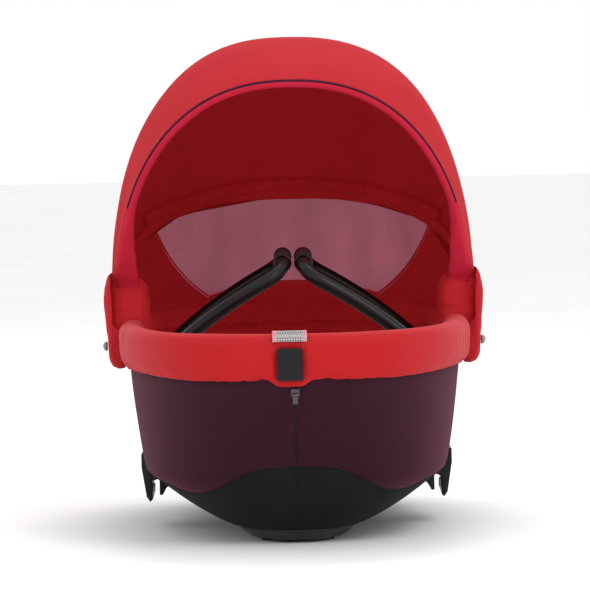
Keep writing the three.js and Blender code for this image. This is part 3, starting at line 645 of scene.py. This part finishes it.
def makeHull():
    def upper(u, v):
        turn = 2 * math.pi * u
        low = seamPoint(turn).z + 0.3 * mm
        height = lerp(low, hull["coverTop"], v)
        soft = 0.7 * mm * ripple(math.cos(turn) * 4, math.sin(turn) * 4, height * 16)
        return hullPoint(turn, height, soft + 0.4 * mm * math.sin(math.pi * v))

    piece = objectOf("hullUpper", gridSheet(256, 30, upper, wrap=True), burgundyCloth)
    addWall(piece, 2.2 * mm)
    joinTo(piece, "cot", "burgundy_fabric", "outer_cover_left", "outer_cover_right")

    def lower(u, v):
        turn = 2 * math.pi * u
        height = lerp(14.6 * mm, seamPoint(turn).z - 0.3 * mm, v)
        return hullPoint(turn, height, -0.2 * mm)

    piece = objectOf("hullLower", gridSheet(256, 20, lower, wrap=True), blackCloth)
    addWall(piece, 2.2 * mm)
    joinTo(piece, "cot", "black_fabric", "lower_cover_left", "lower_cover_right")

    seam = [seamPoint(2 * math.pi * i / 360, 0.1 * mm) for i in range(360)]
    joinTo(objectOf("hullSeamCord", tubeAlong(seam, 0.9 * mm, True, 2), blackCloth), "cot", "black_fabric")
    for end, turn in (("foot", -math.pi / 2), ("head", math.pi / 2)):
        upright = [hullPoint(turn, lerp(15 * mm, hull["coverTop"], i / 40), 0.0) for i in range(41)]
        upright[0] += Vector((0, 0, 0.5 * mm))
        cord = objectOf(f"{end}Seam", tubeAlong(upright, 0.9 * mm, False, 2), blackCloth)
        joinTo(cord, "cot", "burgundy_fabric", f"seam_piping_{end}")
    print("hull covered")


def makeBase():
    section = [
        (-3.4, 15.6), (-0.6, 15.6), (0.6, 14.8), (1.0, 13.2), (0.6, 11.6),
        (-0.4, 10.6), (-1.2, 7.0), (-2.6, 4.4), (-5.5, 3.3),
    ]

    def lip(u, v):
        out, height = between(section, v)
        return hullPoint(2 * math.pi * u, height * mm, out * mm)

    bm = gridSheet(200, 2 * (len(section) - 1), lip, wrap=True)
    low = min(vert.co.z for vert in bm.verts)
    rim = [edge for edge in bm.edges if edge.is_boundary and edge.verts[0].co.z < low + 0.1 * mm]
    bmesh.ops.holes_fill(bm, edges=rim, sides=0)
    bmesh.ops.recalc_face_normals(bm, faces=bm.faces)
    piece = objectOf("panShell", bm, mouldedBlack)
    joinTo(piece, "cot", "moulded_black", "base_pan")
    for side in ("left", "right"):
        low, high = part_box(f"skid_{side}")
        size = high - low
        bm = bmesh.new()
        ribs = 19
        for i in range(ribs):
            y = lerp(low.y, high.y, (i + 0.5) / ribs)
            place = Matrix.Translation((low.x + size.x / 2, y, size.z * 0.5))
            place @= Matrix.Diagonal((size.x, size.y / ribs * 0.82, size.z, 1))
            bmesh.ops.create_cube(bm, size=1.0, matrix=place)
        spine = Matrix.Translation((low.x + size.x / 2, (low.y + high.y) / 2, size.z * 0.7))
        spine @= Matrix.Diagonal((size.x * 0.8, size.y, size.z * 0.6, 1))
        bmesh.ops.create_cube(bm, size=1.0, matrix=spine)
        piece = objectOf(f"skid_{side}_ribbed", bm, skidRubber)
        addRounding(piece, 0.7 * mm, 2)
        joinTo(piece, "cot", "skid_rubber", f"skid_{side}")
    print("base moulded")


# ---- padded roll over the rim
apron = {
    "end": 47 * mm,
    "tabDrop": 8.0 * mm,
    "tabMiddle": -5 * mm,
}


def sectionPoint(section, v):
    spot = (v % 1.0) * len(section)
    index = int(spot) % len(section)
    (o1, z1), (o2, z2) = section[index], section[(index + 1) % len(section)]
    t = spot - int(spot)
    return lerp(o1, o2, t), lerp(z1, z2, t)


def rimRoll(name, section, fromTurn, toTurn, steps, material):
    # a closed section carried along the rim, with rounded ends
    def place(u, v):
        out, height = sectionPoint(section, v)
        middle = (-5.0, 226.0)
        rounded = 1 - 0.45 * (1 - ease(0, 0.012, min(u, 1 - u)))
        out, height = lerp(middle[0], out, rounded), lerp(middle[1], height, rounded)
        return hullPoint(lerp(fromTurn, toTurn, u), height * mm, out * mm)

    return objectOf(name, closeEnds(gridSheet(steps, 4 * len(section), place, wrap=True)), material)


def makeApron():
    section = [
        (1.4, 185.5), (4.6, 186.0), (6.2, 192.0), (6.6, 205.0), (6.4, 220.0), (5.2, 231.0), (2.0, 237.0),
        (-3.5, 239.0), (-11.0, 238.5), (-17.0, 234.5), (-19.6, 226.0), (-19.4, 215.0), (-17.4, 212.4),
        (-15.2, 215.0), (-14.6, 230.5), (-8.0, 233.6), (-1.0, 232.6), (1.2, 226.0),
    ]
    end = turnAt(apron["end"], 0.22)
    piece = rimRoll("apronPad", section, math.pi - end, 2 * math.pi + end, 240, apronVelour)
    puffUp(piece, 4.2 * mm, 4.0, 3.0 * mm)

    def finish(place, normal):
        aside = abs(place.x - apron["tabMiddle"])
        front = place.y < -0.3
        if front and place.z < 200 * mm:
            underTab = (1 - ease(12 * mm, 25 * mm, aside)) * (1 - ease(185 * mm, 200 * mm, place.z))
            place.z -= apron["tabDrop"] * underTab
        if front and place.y < -0.395:
            inPlate = (1 - ease(13.8 * mm, 17 * mm, aside)) * ease(185.5 * mm, 188.5 * mm, place.z)
            inPlate *= 1 - ease(223 * mm, 226.5 * mm, place.z)
            if normal.y < -0.3:
                place.y = lerp(place.y, -0.4063, inPlate)
        ends = ease(0.13, 0.19, abs(place.x)) * ease(-0.26, -0.1, place.y)
        along = math.atan2(place.x, -place.y)
        fold = ripple(along * 26, place.z * 7, 3.1) + 0.5 * ripple(along * 60, place.z * 16, 7.7)
        slow = ripple(place.x * 9, place.y * 9, place.z * 14 + 5)
        return place + normal * (fold * 2.2 * mm * ends + slow * 0.35 * mm)

    reshape(piece, finish)
    addSmoothing(piece)
    joinTo(piece, "cot", "apron_velour", "apron")
    print("apron padded")


def makeHeadPad():
    section = [
        (1.6, 214.0), (5.6, 217.0), (6.2, 224.0), (5.4, 232.0), (2.0, 237.0), (-3.5, 239.0), (-11.0, 238.6),
        (-17.0, 234.6), (-19.6, 227.0), (-19.6, 217.0), (-17.4, 213.0), (-15.2, 216.0), (-14.6, 230.5),
        (-8.0, 233.6), (-1.0, 232.6), (1.0, 224.0),
    ]
    start = turnAt(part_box("head_rim_pad")[0].y, 0.22)
    piece = rimRoll("headPad", section, start, math.pi - start, 200, liningCloth)
    puffUp(piece, 4.2 * mm, 3.0, 2.0 * mm)
    addSmoothing(piece)
    joinTo(piece, "cot", "lining_red", "head_rim_pad")
    tube = [hullPoint(2 * math.pi * i / 240, 226 * mm, -7 * mm) for i in range(240)]
    piece = objectOf("rimTubeRound", tubeAlong(tube, 5.9 * mm, True, 5), rimPaint)
    joinTo(piece, "cot", "rim_metal", "rim_tube")
    print("rim finished")


def makePatchAndLatch():
    low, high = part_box("reflective_patch")

    def tape(u, v):
        across = lerp(low.x, high.x, u)
        drop = lerp(0.0, 17.0 * mm, v)
        if drop < 6 * mm:
            y, z = -0.4045 - drop * 0.55, 0.2417 - 0.9 * mm * (drop / (6 * mm)) ** 2
        else:
            y, z = -0.4078 - 3.9 * mm * ease(6 * mm, 12 * mm, drop), 0.2408 - (drop - 6 * mm) * 0.98
        sewn = 0.25 * mm * ripple(u * 9, v * 6, 2)
        return Vector((across, y + sewn, z))

    piece = objectOf("reflectivePatch", gridSheet(30, 16, tape), reflectiveTape)
    addWall(piece, 0.8 * mm, 1.0)
    joinTo(piece, "cot", "reflective_weave", "reflective_patch")

    low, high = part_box("latch_plate")
    size = high - low

    def plate(u, v):
        bow = 1.9 * mm * math.sin(math.pi * v) + 0.9 * mm * math.sin(math.pi * u)
        shoulder = 2.2 * mm * (ease(0.0, 0.16, v) - 1)
        waist = 1 + 0.05 * (1 - ease(0.0, 0.3, v))
        x = (u - 0.5) * size.x * waist + (low.x + high.x) / 2
        return Vector((x, high.y - 6.2 * mm - bow - shoulder * 0.4, lerp(low.z, high.z, v)))

    piece = objectOf("latchPlate", gridSheet(20, 26, plate), glossBlack)
    addWall(piece, 4.4 * mm)
    addRounding(piece, 1.0 * mm, 3, 50)
    joinTo(piece, "apron_latch", "gloss_black", "latch_plate")
    sharpCopy("zipSlider", "zip_slider", zipSteel, "cot", "stud_metal", 0.5 * mm)
    sharpCopy("zipPull", "zip_pull", zipSteel, "zip_pull", "stud_metal", 0.3 * mm)
    print("latch and patch in place")


# ---- lining and bedding
def makeInside():
    def wall(u, v):
        turn = 2 * math.pi * u
        height = lerp(0.088, 0.226, v)
        x = hullPoint(turn, height)
        pucker = 0.9 * mm * ripple(x.x * 22, x.y * 22, height * 5)
        return hullPoint(turn, height, -8.6 * mm + pucker - 2.0 * mm * (1 - ease(0.088, 0.13, height)))

    piece = objectOf("liningWall", flipSheet(gridSheet(220, 24, wall, wrap=True)), liningCloth)
    addWall(piece, 1.2 * mm)
    joinTo(piece, "cot", "lining_red", "liner")

    inset = -14 * mm

    layers = [(-7, 90.6), (-2, 94), (-1, 104), (-1, 116), (-3.5, 121.5), (-10, 125.2)]

    def bed(u, v):
        out, height = between(layers, v)
        return hullPoint(2 * math.pi * u, height * mm, inset + out * mm)

    piece = objectOf("mattressPad", closeEnds(gridSheet(160, 10, bed, wrap=True)), jersey)
    puffUp(piece, 6.5 * mm, 3.0, 4.0 * mm, 10)

    def quilt(place, normal):
        if normal.z < 0.3:
            return place
        spread = 0.09
        a = abs(math.sin((place.x + place.y) * math.pi / spread))
        b = abs(math.sin((place.x - place.y) * math.pi / spread))
        channel = min(a, b)
        place.z -= 2.2 * mm * (1 - ease(0.0, 0.28, channel))
        return place

    reshape(piece, quilt)
    addSmoothing(piece)
    joinTo(piece, "cot", "mattress_fabric", "mattress")
    print("lined and bedded")


# ---- hood
hood = {
    "pivotY": 73 * mm,
    "pivotZ": 240 * mm,
    "radius": 322 * mm,
    "half": 211 * mm,
    "square": 2.7,
    "frontRadius": 320 * mm,
    "frontHalf": 207 * mm,
    "frontSquare": 2.3,
    "topSquare": 2.45,
    "rearEdge": -3.6,
    "rearBow": 25.0,
    "rearFold": 56.0,  # where the cloth folds between the fixed and the middle bow
    "midBow": 73.0,
    "frontFold": 101.0,
    "frontBow": 121.0,
    "frontSleeve": 119.6,
    "foldReach": 9.0,
    "layer": 3.4 * mm,
    "cloth": 1.2 * mm,
    "reach": 0.985,
}


def hoodSize(angle):
    narrow = ease(94, 121, angle)
    rear = 1 - ease(hood["rearFold"] - hood["foldReach"], hood["rearFold"] + hood["foldReach"], angle)
    front = ease(hood["frontFold"] - hood["foldReach"], hood["frontFold"] + hood["foldReach"], angle)
    radius = lerp(hood["radius"], hood["frontRadius"], narrow) + hood["layer"] * (rear - front * 0.7)
    half = lerp(hood["half"], hood["frontHalf"], narrow) + hood["layer"] * 0.6 * (rear - front * 0.5)
    square = lerp(hood["square"], hood["topSquare"], ease(58, 88, angle))
    return radius, half, lerp(square, hood["frontSquare"], narrow)


def hoodPoint(along, depth, angle, ahead=0.0):
    radius, half, square = hoodSize(angle)
    turn = along * math.pi / 2
    x = (half - depth) * bend(math.sin(turn), 2 / square)
    r = (radius - depth) * abs(math.cos(turn)) ** (2 / square)
    c, s = math.cos(math.radians(angle)), math.sin(math.radians(angle))
    return Vector((x, hood["pivotY"] + r * c - ahead * s, hood["pivotZ"] + r * s + ahead * c))


def hoodOut(place):
    # outward direction on the hood at a place
    y, z = place.y - hood["pivotY"], place.z - hood["pivotZ"]
    r = math.hypot(y, z)
    radius, half, square = hoodSize(math.degrees(math.atan2(z, y)))
    radial = (r / radius) ** (square - 1) / radius
    cross = bend(place.x / half, square - 1) / half
    return Vector((cross, radial * y / max(r, 1e-6), radial * z / max(r, 1e-6))).normalized()


def clothWave(along, angle):
    # soft hollows between the bows and a few drawn folds near the pivots
    low = ease(0.72, 0.98, abs(along))
    drawn = ripple(along * 10, angle * 0.09, 4.0) * 2.0 * mm * low
    soft = ripple(along * 3.2, angle * 0.05, 1.5) * 1.2 * mm
    bows = min(abs(angle - hood[bow]) for bow in ("rearBow", "midBow", "frontBow"))
    return soft * ease(0, 12, bows) + drawn * ease(0, 6, bows)


def hoodSheet(name, fromAngle, toAngle, across, along, depth, material, wave=True):
    def place(u, v):
        spot = (2 * u - 1) * hood["reach"]
        angle = lerp(fromAngle, toAngle, v)
        lift = clothWave(spot, angle) if wave else 0.0
        return hoodPoint(spot, depth - lift, angle)

    return objectOf(name, gridSheet(across, along, place), material)


def windowOutline(grow):
    low, high = 250 * mm - grow, 370 * mm + grow
    lowHalf, highHalf = 103 * mm + grow, 168 * mm + grow
    drop = 31 * mm

    def arc(start, control, end, count):
        return quadratic(Vector(start), Vector(control), Vector(end), count)

    corner = (highHalf, high - drop)
    outline = arc((-lowHalf, low), (0, low + 34 * mm), (lowHalf, low), 24)
    outline += arc((lowHalf, low), (highHalf - 20 * mm, low + 30 * mm), corner, 16)
    outline += arc(corner, (highHalf * 0.5, high + 1 * mm), (0, high), 16)
    outline += arc((0, high), (-highHalf * 0.5, high + 1 * mm), (-corner[0], corner[1]), 16)
    outline += arc((-corner[0], corner[1]), (-highHalf + 20 * mm, low + 30 * mm), (-lowHalf, low), 16)
    return outline


def windowPrism(grow):
    bm = bmesh.new()
    ring = [bm.verts.new((point.x, 0.15, point.y)) for point in windowOutline(grow)]
    face = bm.faces.new(ring)
    pushed = bmesh.ops.extrude_face_region(bm, geom=[face])["geom"]
    bmesh.ops.translate(bm, verts=[v for v in pushed if isinstance(v, bmesh.types.BMVert)], vec=(0, 0.4, 0))
    bmesh.ops.recalc_face_normals(bm, faces=bm.faces)
    return objectOf("windowCutter", bm, hoodCloth)


def cutWith(piece, cutter, operation):
    cut = piece.modifiers.new("cut", "BOOLEAN")
    cut.object = cutter
    cut.operation = operation
    cut.solver = "EXACT"
    applyAll(piece)


def onRear(x, z, depth):
    # the place on the rear cloth seen at x and z
    low, high = hood["rearEdge"], 60.0
    for _ in range(30):
        angle = (low + high) / 2
        radius, half, square = hoodSize(angle)
        share = min(abs(x) / (half - depth), 0.999)
        r = (radius - depth) * (1 - share ** square) ** (1 / square)
        if r * math.sin(math.radians(angle)) < z - hood["pivotZ"]:
            low = angle
        else:
            high = angle
    return Vector((x, hood["pivotY"] + r * math.cos(math.radians(angle)), z))


def blendCloth(piece, a, b, fold, slotName, *nodes):
    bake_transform(piece)
    if nodes:
        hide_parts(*nodes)


def archRow(angle, depth, reach, count=200, ahead=0.0):
    return [hoodPoint(lerp(-reach, reach, i / (count - 1)), depth, angle, ahead) for i in range(count)]


def makeHoodCloth():
    rear = hoodSheet("hoodRearCloth", hood["rearEdge"], hood["midBow"], 120, 70, 0.0, hoodCloth)
    addWall(rear, hood["cloth"])
    applyAll(rear)
    cutter = windowPrism(0.0)
    cutWith(rear, cutter, "DIFFERENCE")
    bpy.data.objects.remove(cutter)
    for polygon in rear.data.polygons:
        polygon.use_smooth = True
    blendCloth(rear, "cot", "hood_mid", hood["rearFold"], "hood_fabric", "hood_rear_panel")

    net = hoodSheet("windowNetting", hood["rearEdge"], 34.0, 100, 40, 1.6 * mm, windowNet)
    addWall(net, 0.5 * mm)
    applyAll(net)
    cutter = windowPrism(2.5 * mm)
    cutWith(net, cutter, "INTERSECT")
    bpy.data.objects.remove(cutter)
    joinTo(net, "cot", "window_mesh", "hood_window")
    ring = [onRear(point.x, point.y, 1.3 * mm) for point in windowOutline(1.0 * mm)]
    binding = objectOf("windowBinding", tubeAlong(ring, 1.5 * mm, True, 2), liningCloth)
    joinTo(binding, "cot", "hood_fabric")

    front = hoodSheet("hoodFrontCloth", hood["midBow"], hood["frontBow"] + 0.8, 120, 54, 0.0, hoodCloth)
    addWall(front, hood["cloth"])
    applyAll(front)
    panels = ("hood_mid_panel", "hood_front_panel")
    blendCloth(front, "hood_mid", "hood_front", hood["frontFold"], "hood_fabric", *panels)

    for name, body, angle, spread in (
        ("rearSeam", "cot", 34.5, 0.93),
        ("midSeam", "hood_mid", 73.0, 0.95),
        ("frontSeam", "hood_front", 117.0, 0.93),
    ):
        for side, shift in (("A", -0.75), ("B", 0.75)):
            row = archRow(angle + shift, -0.5 * mm, spread)
            joinTo(objectOf(f"{name}Stitch{side}", stitchRow(row, hoodOut), hoodCloth), body, "hood_fabric")
        if body == "hood_mid":
            ridge = archRow(angle, -0.2 * mm, 0.96)
            piece = objectOf(f"{name}Ridge", tubeAlong(ridge, 1.1 * mm, False, 2), hoodCloth)
            joinTo(piece, body, "hood_fabric")
    print("hood cloth stretched")


def casing(name, angle, depth, thick, wide, body, node):
    # a flat sleeve of cloth with the bow inside it
    section = [
        (-0.5, 0.25), (-0.25, 0.0), (0.25, 0.0), (0.5, 0.25),
        (0.5, 0.75), (0.25, 1.0), (-0.25, 1.0), (-0.5, 0.75),
    ]

    def place(u, v):
        ahead, deep = sectionPoint(section, v)
        spot = (2 * u - 1) * 0.985
        pull = 0.5 * mm * ripple(spot * 40, v * 3, 2.0)
        return hoodPoint(spot, depth + deep * thick + pull, angle, ahead * wide)

    piece = objectOf(name, closeEnds(gridSheet(110, 16, place, wrap=True)), liningCloth)
    joinTo(piece, body, "lining_red", node)


def makeBows():
    cloth = hood["cloth"] + 0.3 * mm
    casing("rearBowSleeve", hood["rearBow"], cloth + 1.0 * mm, 4.6 * mm, 15 * mm, "cot", "rear_bow")
    casing("midBowSleeve", hood["midBow"], cloth, 5.0 * mm, 17 * mm, "hood_mid", "mid_bow")
    casing("frontBowSleeve", hood["frontSleeve"], cloth, 4.2 * mm, 12 * mm, "hood_front", "front_bow")

    def hem(u, v):
        # front edge: rolls round the bow, and widens into a folded gusset low at the sides
        spot = (2 * u - 1) * 0.972
        low = ease(0.68, 0.97, abs(spot))
        width = lerp(7.5, 24.0, low) * mm
        steps = [
            (0.6 * mm, 0.2 * mm), (0.4 * mm, 2.4 * mm), (1.8 * mm, 4.6 * mm), (4.4 * mm, 5.2 * mm),
            (width * 0.7, 4.6 * mm), (width * 0.96, 3.0 * mm), (width * 1.02, 0.6 * mm),
            (width * 0.98, -7.0 * mm), (width * 0.9, -20.0 * mm),
        ]
        depth, ahead = between(steps, v)
        fold = ripple(spot * 46, v * 2.0, 6.0) + 0.6 * ripple(spot * 90, v * 3.0, 9.0)
        ahead += fold * 2.4 * mm * low * ease(0.15, 0.5, v)
        depth += fold * 1.6 * mm * low * ease(0.3, 0.8, v)
        return hoodPoint(spot, depth, hood["frontBow"] + 0.4, ahead)

    facing = objectOf("hoodFacing", gridSheet(170, 24, hem), facingCloth)
    addWall(facing, 1.0 * mm, -1.0)
    addSmoothing(facing)
    joinTo(facing, "hood_front", "lining_red", "hood_facing")

    line = archRow(hood["frontBow"] + 0.4, -0.2 * mm, 0.72, 240, 2.2 * mm)
    cord = objectOf("mouthPiping", tubeAlong(line, 1.7 * mm, False, 3), plumCord)
    joinTo(cord, "hood_front", "plum_piping", "hood_piping")

    def ruche(u, v):
        # gathered roll along the top of the window
        spot = (2 * u - 1)
        x = spot * 176 * mm
        z = 386 * mm - 38 * mm * abs(spot) ** 2.2
        turn = 2 * math.pi * v
        pinch = 1 + 0.36 * ripple(spot * 60, math.cos(turn) * 0.8, math.sin(turn) * 0.8)
        pinch += 0.2 * ripple(spot * 110, math.cos(turn), math.sin(turn) + 4)
        thick = 6.2 * mm * pinch
        base = onRear(x, z + math.sin(turn) * thick * 1.15, 7.2 * mm)
        inward = hoodOut(base) * (-math.cos(turn) * thick * 0.85)
        return base + inward

    roll = objectOf("windowRoll", closeEnds(gridSheet(420, 14, ruche, wrap=True)), liningCloth)
    joinTo(roll, "cot", "lining_red", "window_roll")
    print("bows sleeved")


# ---- gathered cloth round each hood pivot
hubCover = {"inner": 169 * mm, "outer": 213 * mm, "radius": 44 * mm, "fold": 2.8 * mm}


def makeHubCovers():
    profile = [
        (0.0, 0.0), (0.0, 0.55), (0.05, 0.8), (0.16, 0.95), (0.35, 1.0),
        (0.7, 1.0), (0.88, 0.95), (1.0, 0.8), (1.0, 0.3),
    ]
    for side, mirror in (("left", 1), ("right", -1)):
        def wrapAt(u, v):
            turn = 2 * math.pi * u
            across, radius = between(profile, v)
            radius *= hubCover["radius"]
            c, s = math.cos(turn), math.sin(turn)
            crease = hubCover["fold"] * min(radius / (20 * mm), 1)
            radius += crease * ripple(c * 5, s * 5, across * 1.5 + mirror)
            lean = 1.2 * mm * ripple(c * 7, s * 7, 8 + mirror)
            x = lerp(hubCover["inner"], hubCover["outer"], across) + lean
            return Vector((mirror * x, hood["pivotY"] + c * radius, hood["pivotZ"] + s * radius))

        piece = objectOf(f"hubCover_{side}", closeEnds(gridSheet(96, 24, wrapAt, wrap=True)), liningCloth)
        addSmoothing(piece)
        joinTo(piece, "cot", "lining_red")
    print("pivots covered")


# ---- skirt round the head half
def hoodShare(place, extra):
    y, z = place.y - hood["pivotY"], place.z - hood["pivotZ"]
    radius, half = hood["radius"] + hood["layer"] + extra, hood["half"] + 2.0 * mm + extra
    return (math.hypot(y, z) / radius) ** 2.7 + (abs(place.x) / half) ** 2.7


def besideHood(turn, height, extra):
    low, high = 0.0, 40 * mm
    for _ in range(13):
        middle = (low + high) / 2
        if hoodShare(hullPoint(turn, height, middle), extra) < 1:
            low = middle
        else:
            high = middle
    return high


def makeSkirts():
    front = 14 * mm
    start = turnAt(front, 0.23)
    for side, mirror in (("left", 1), ("right", -1)):
        def skirt(u, v):
            turn = lerp(start, math.pi / 2 - 0.003, u ** 1.15)
            section = [
                (8.6, 186.0), (10.5, 182.0), (17.0, 181.0), (23.5, 184.0), (26.5, 192.0), (27.6, 205.0),
                (27.0, 220.0), (26.2, 236.0), (27.2, 250.0), (27.4, 264.0), (0.0, 279.0), (0.0, 287.0),
                (0.0, 290.0), (0.0, 283.0), (0.0, 262.0), (23.2, 244.0), (22.4, 230.0), (8.6, 224.0),
            ]
            spot = (v % 1.0) * len(section)
            index = int(spot) % len(section)
            t = spot - int(spot)

            def resolved(entry):
                out, height = section[entry % len(section)]
                hugging = {10: 6.5, 11: 3.6, 12: 1.8, 13: 1.0, 14: 1.2}
                height -= 0.62 * max(height - 236, 0) * ease(0.14, 0.34, hullPoint(turn, 0.24).y)
                if entry % len(section) in hugging:
                    out = besideHood(turn, height * mm, hugging[entry % len(section)] * mm) / mm
                return out, height

            (o1, z1), (o2, z2) = resolved(index), resolved(index + 1)
            out, height = lerp(o1, o2, t), lerp(z1, z2, t)
            endRound = 1 - ease(0, 0.02, u)
            out = lerp(out, lerp(16.0, out, 0.6), endRound)
            height = lerp(height, lerp(232.0, height, 0.9), endRound)
            point = hullPoint(turn, height * mm, out * mm)
            point.x *= mirror
            return point

        piece = objectOf(f"skirtPad_{side}", closeEnds(gridSheet(130, 54, skirt, wrap=True)), hoodCloth)

        def folds(place, normal):
            along = math.atan2(place.y, abs(place.x))
            front = 1 - ease(0.1, 0.55, along)
            drawn = ripple(along * 9, place.z * 34, 2.0 + mirror)
            drawn += 0.6 * ripple(along * 22, place.z * 60, 8.0)
            outer = ease(0.0, 0.5, normal.x * mirror)
            arc = math.hypot(place.y - 46 * mm, place.z - 246 * mm)
            seam = math.exp(-(((arc - 34 * mm) / (2.2 * mm)) ** 2)) * outer
            return place + normal * (drawn * lerp(0.7, 2.0, front) * mm - seam * 1.6 * mm)

        reshape(piece, folds)
        addSmoothing(piece)
        joinTo(piece, "cot", "hood_fabric", f"hood_skirt_{side}")
        for place in ("front", "rear"):
            low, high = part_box(f"skirt_stud_{place}_{side}")
            middle = (low + high) / 2
            face = (high.x if mirror > 0 else low.x) - mirror * 1.6 * mm
            bm = bmesh.new()
            profile = [(0.0, 2.9), (1.6, 2.7), (3.2, 2.0), (4.6, 0.9), (5.2, 0.2), (5.2, -2.4)]
            points = [bm.verts.new((face + mirror * h * mm, middle.y, middle.z + r * mm)) for r, h in profile]
            spinProfile(bm, points, (0, middle.y, middle.z), (1, 0, 0), 20)
            closeEnds(bm)
            stud = objectOf(f"snap_{place}_{side}", bm, snapSteel)
            joinTo(stud, "cot", "stud_metal", f"skirt_stud_{place}_{side}")
    print("skirts puffed")


# ---- handles
handles = {
    "spread": 180 * mm,
    "pivotZ": 198 * mm,
    "bendInset": 49.5 * mm,
    "bendZ": 247 * mm,
    "armDrop": 9 * mm,
    "gripZ": 305 * mm,
    "cornerRun": 26 * mm,
    "radius": 8 * mm,
}


def makeHandles():
    for side, mirror in (("left", 1), ("right", -1)):
        low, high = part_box(f"handle_clevis_foot_{side}")
        pivotX = abs(low.x + high.x) / 2
        gripLow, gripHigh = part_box(f"handle_grip_{side}")
        gripX = abs(gripLow.x + gripHigh.x) / 2
        bendX = pivotX - handles["bendInset"]
        spread, run = handles["spread"], handles["cornerRun"]

        def at(x, y, z):
            return Vector((mirror * x, y, z))

        armTop = handles["gripZ"] - handles["armDrop"]
        lean = (Vector((bendX, handles["bendZ"])) - Vector((gripX, armTop))).normalized()
        tail = (Vector((pivotX, handles["pivotZ"])) - Vector((bendX, handles["bendZ"]))).normalized()
        half = []
        y = -spread
        foot = at(pivotX, y, handles["pivotZ"])
        half.append(foot + at(tail.x, 0, tail.y) * handles["radius"])
        shoulder = at(gripX + lean.x * run, y, armTop + lean.y * run)
        half += quadratic(foot, at(bendX, y, handles["bendZ"]), shoulder, 22)
        half += quadratic(shoulder, at(gripX, y, armTop), at(gripX, y + run, handles["gripZ"]), 12)
        half.append(at(gripX, y + run, handles["gripZ"]))
        path = half + [Vector((p.x, -p.y, p.z)) for p in reversed(half)]
        tube = objectOf(f"handleTube_{side}", tubeAlong(path, handles["radius"], False, 7), glossBlack)
        addSmoothing(tube)
        joinTo(tube, f"handle_{side}", "gloss_black", f"handle_tube_{side}")

        def lathed(name, profile, material, slotName, node):
            bm = bmesh.new()
            middle = (gripX * mirror, 0, (gripLow.z + gripHigh.z) / 2)
            points = [bm.verts.new((middle[0] + r, y, middle[2])) for r, y in profile]
            spinProfile(bm, points, middle, (0, 1, 0), 32)
            bmesh.ops.recalc_face_normals(bm, faces=bm.faces)
            piece = objectOf(name, bm, material)
            addRounding(piece, 0.5 * mm, 2, 40)
            joinTo(piece, f"handle_{side}", slotName, node)

        radius = (gripHigh.z - gripLow.z) / 2
        bore = handles["radius"] + 0.2 * mm
        profile = [(bore, gripLow.y), (radius - 0.8 * mm, gripLow.y)]
        for i in range(61):
            t = i / 60
            y = lerp(gripLow.y + 1.2 * mm, gripHigh.y - 1.2 * mm, t)
            finger = 0.7 * mm * math.cos(2 * math.pi * (t * 5)) * ease(0, 0.12, min(t, 1 - t))
            profile.append((radius - 0.5 * mm - finger * 0.5, y))
        profile += [(radius - 0.8 * mm, gripHigh.y), (bore, gripHigh.y), (bore, gripLow.y)]
        lathed(f"handleGrip_{side}", profile, gripRubber, "grip_rubber", f"handle_grip_{side}")
        for end in ("foot", "head"):
            low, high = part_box(f"grip_cap_{end}_{side}")
            capRadius = (high.z - low.z) / 2
            y1, y2 = (high.y, low.y) if end == "foot" else (low.y, high.y)
            step = (y2 - y1) / 5
            profile = [
                (bore, y1), (capRadius, y1), (capRadius, y1 + step),
                (capRadius - 0.8 * mm, y1 + step * 1.3), (capRadius - 0.8 * mm, y1 + step * 2),
                (capRadius, y1 + step * 2.3), (capRadius - 0.2 * mm, y1 + step * 4),
                (capRadius - 1.6 * mm, y2), (bore, y2), (bore, y1),
            ]
            lathed(f"gripCap_{end}_{side}", profile, glossBlack, "gloss_black", f"grip_cap_{end}_{side}")
            node = f"handle_clevis_{end}_{side}"
            sharpCopy(f"clevis_{end}_{side}", node, mouldedBlack, "cot", "moulded_black", 0.9 * mm)
    print("handles hung")


def makeHardware():
    for side in ("left", "right"):
        pawl = f"connector_latch_{side}"
        for name, node, material, body, slotName, width, segments, angle in (
            ("chassisHook", f"connector_{side}", glossBlack, "cot", "moulded_black", 1.2 * mm, 3, 30),
            ("hookPawl", pawl, latchSteel, pawl, "latch_steel", 0.5 * mm, 3, 35),
            ("hoodHub", f"hood_hub_{side}", mouldedBlack, "cot", "moulded_black", 0.9 * mm, 3, 30),
        ):
            sharpCopy(f"{name}_{side}", node, material, body, slotName, width, segments, angle)
    boards = [f"wall_board_{end}" for end in ("foot", "head", "left", "right")]
    for node in (*boards, "mattress_board"):
        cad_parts[node].data.materials.clear()
        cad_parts[node].data.materials.append(fibreBoard)
    print("hardware fitted")


setStudio()
makeHull()
makeBase()
makeApron()
makeHeadPad()
makePatchAndLatch()
makeInside()
makeHoodCloth()
makeBows()
makeHubCovers()
makeSkirts()
makeHandles()
makeHardware()
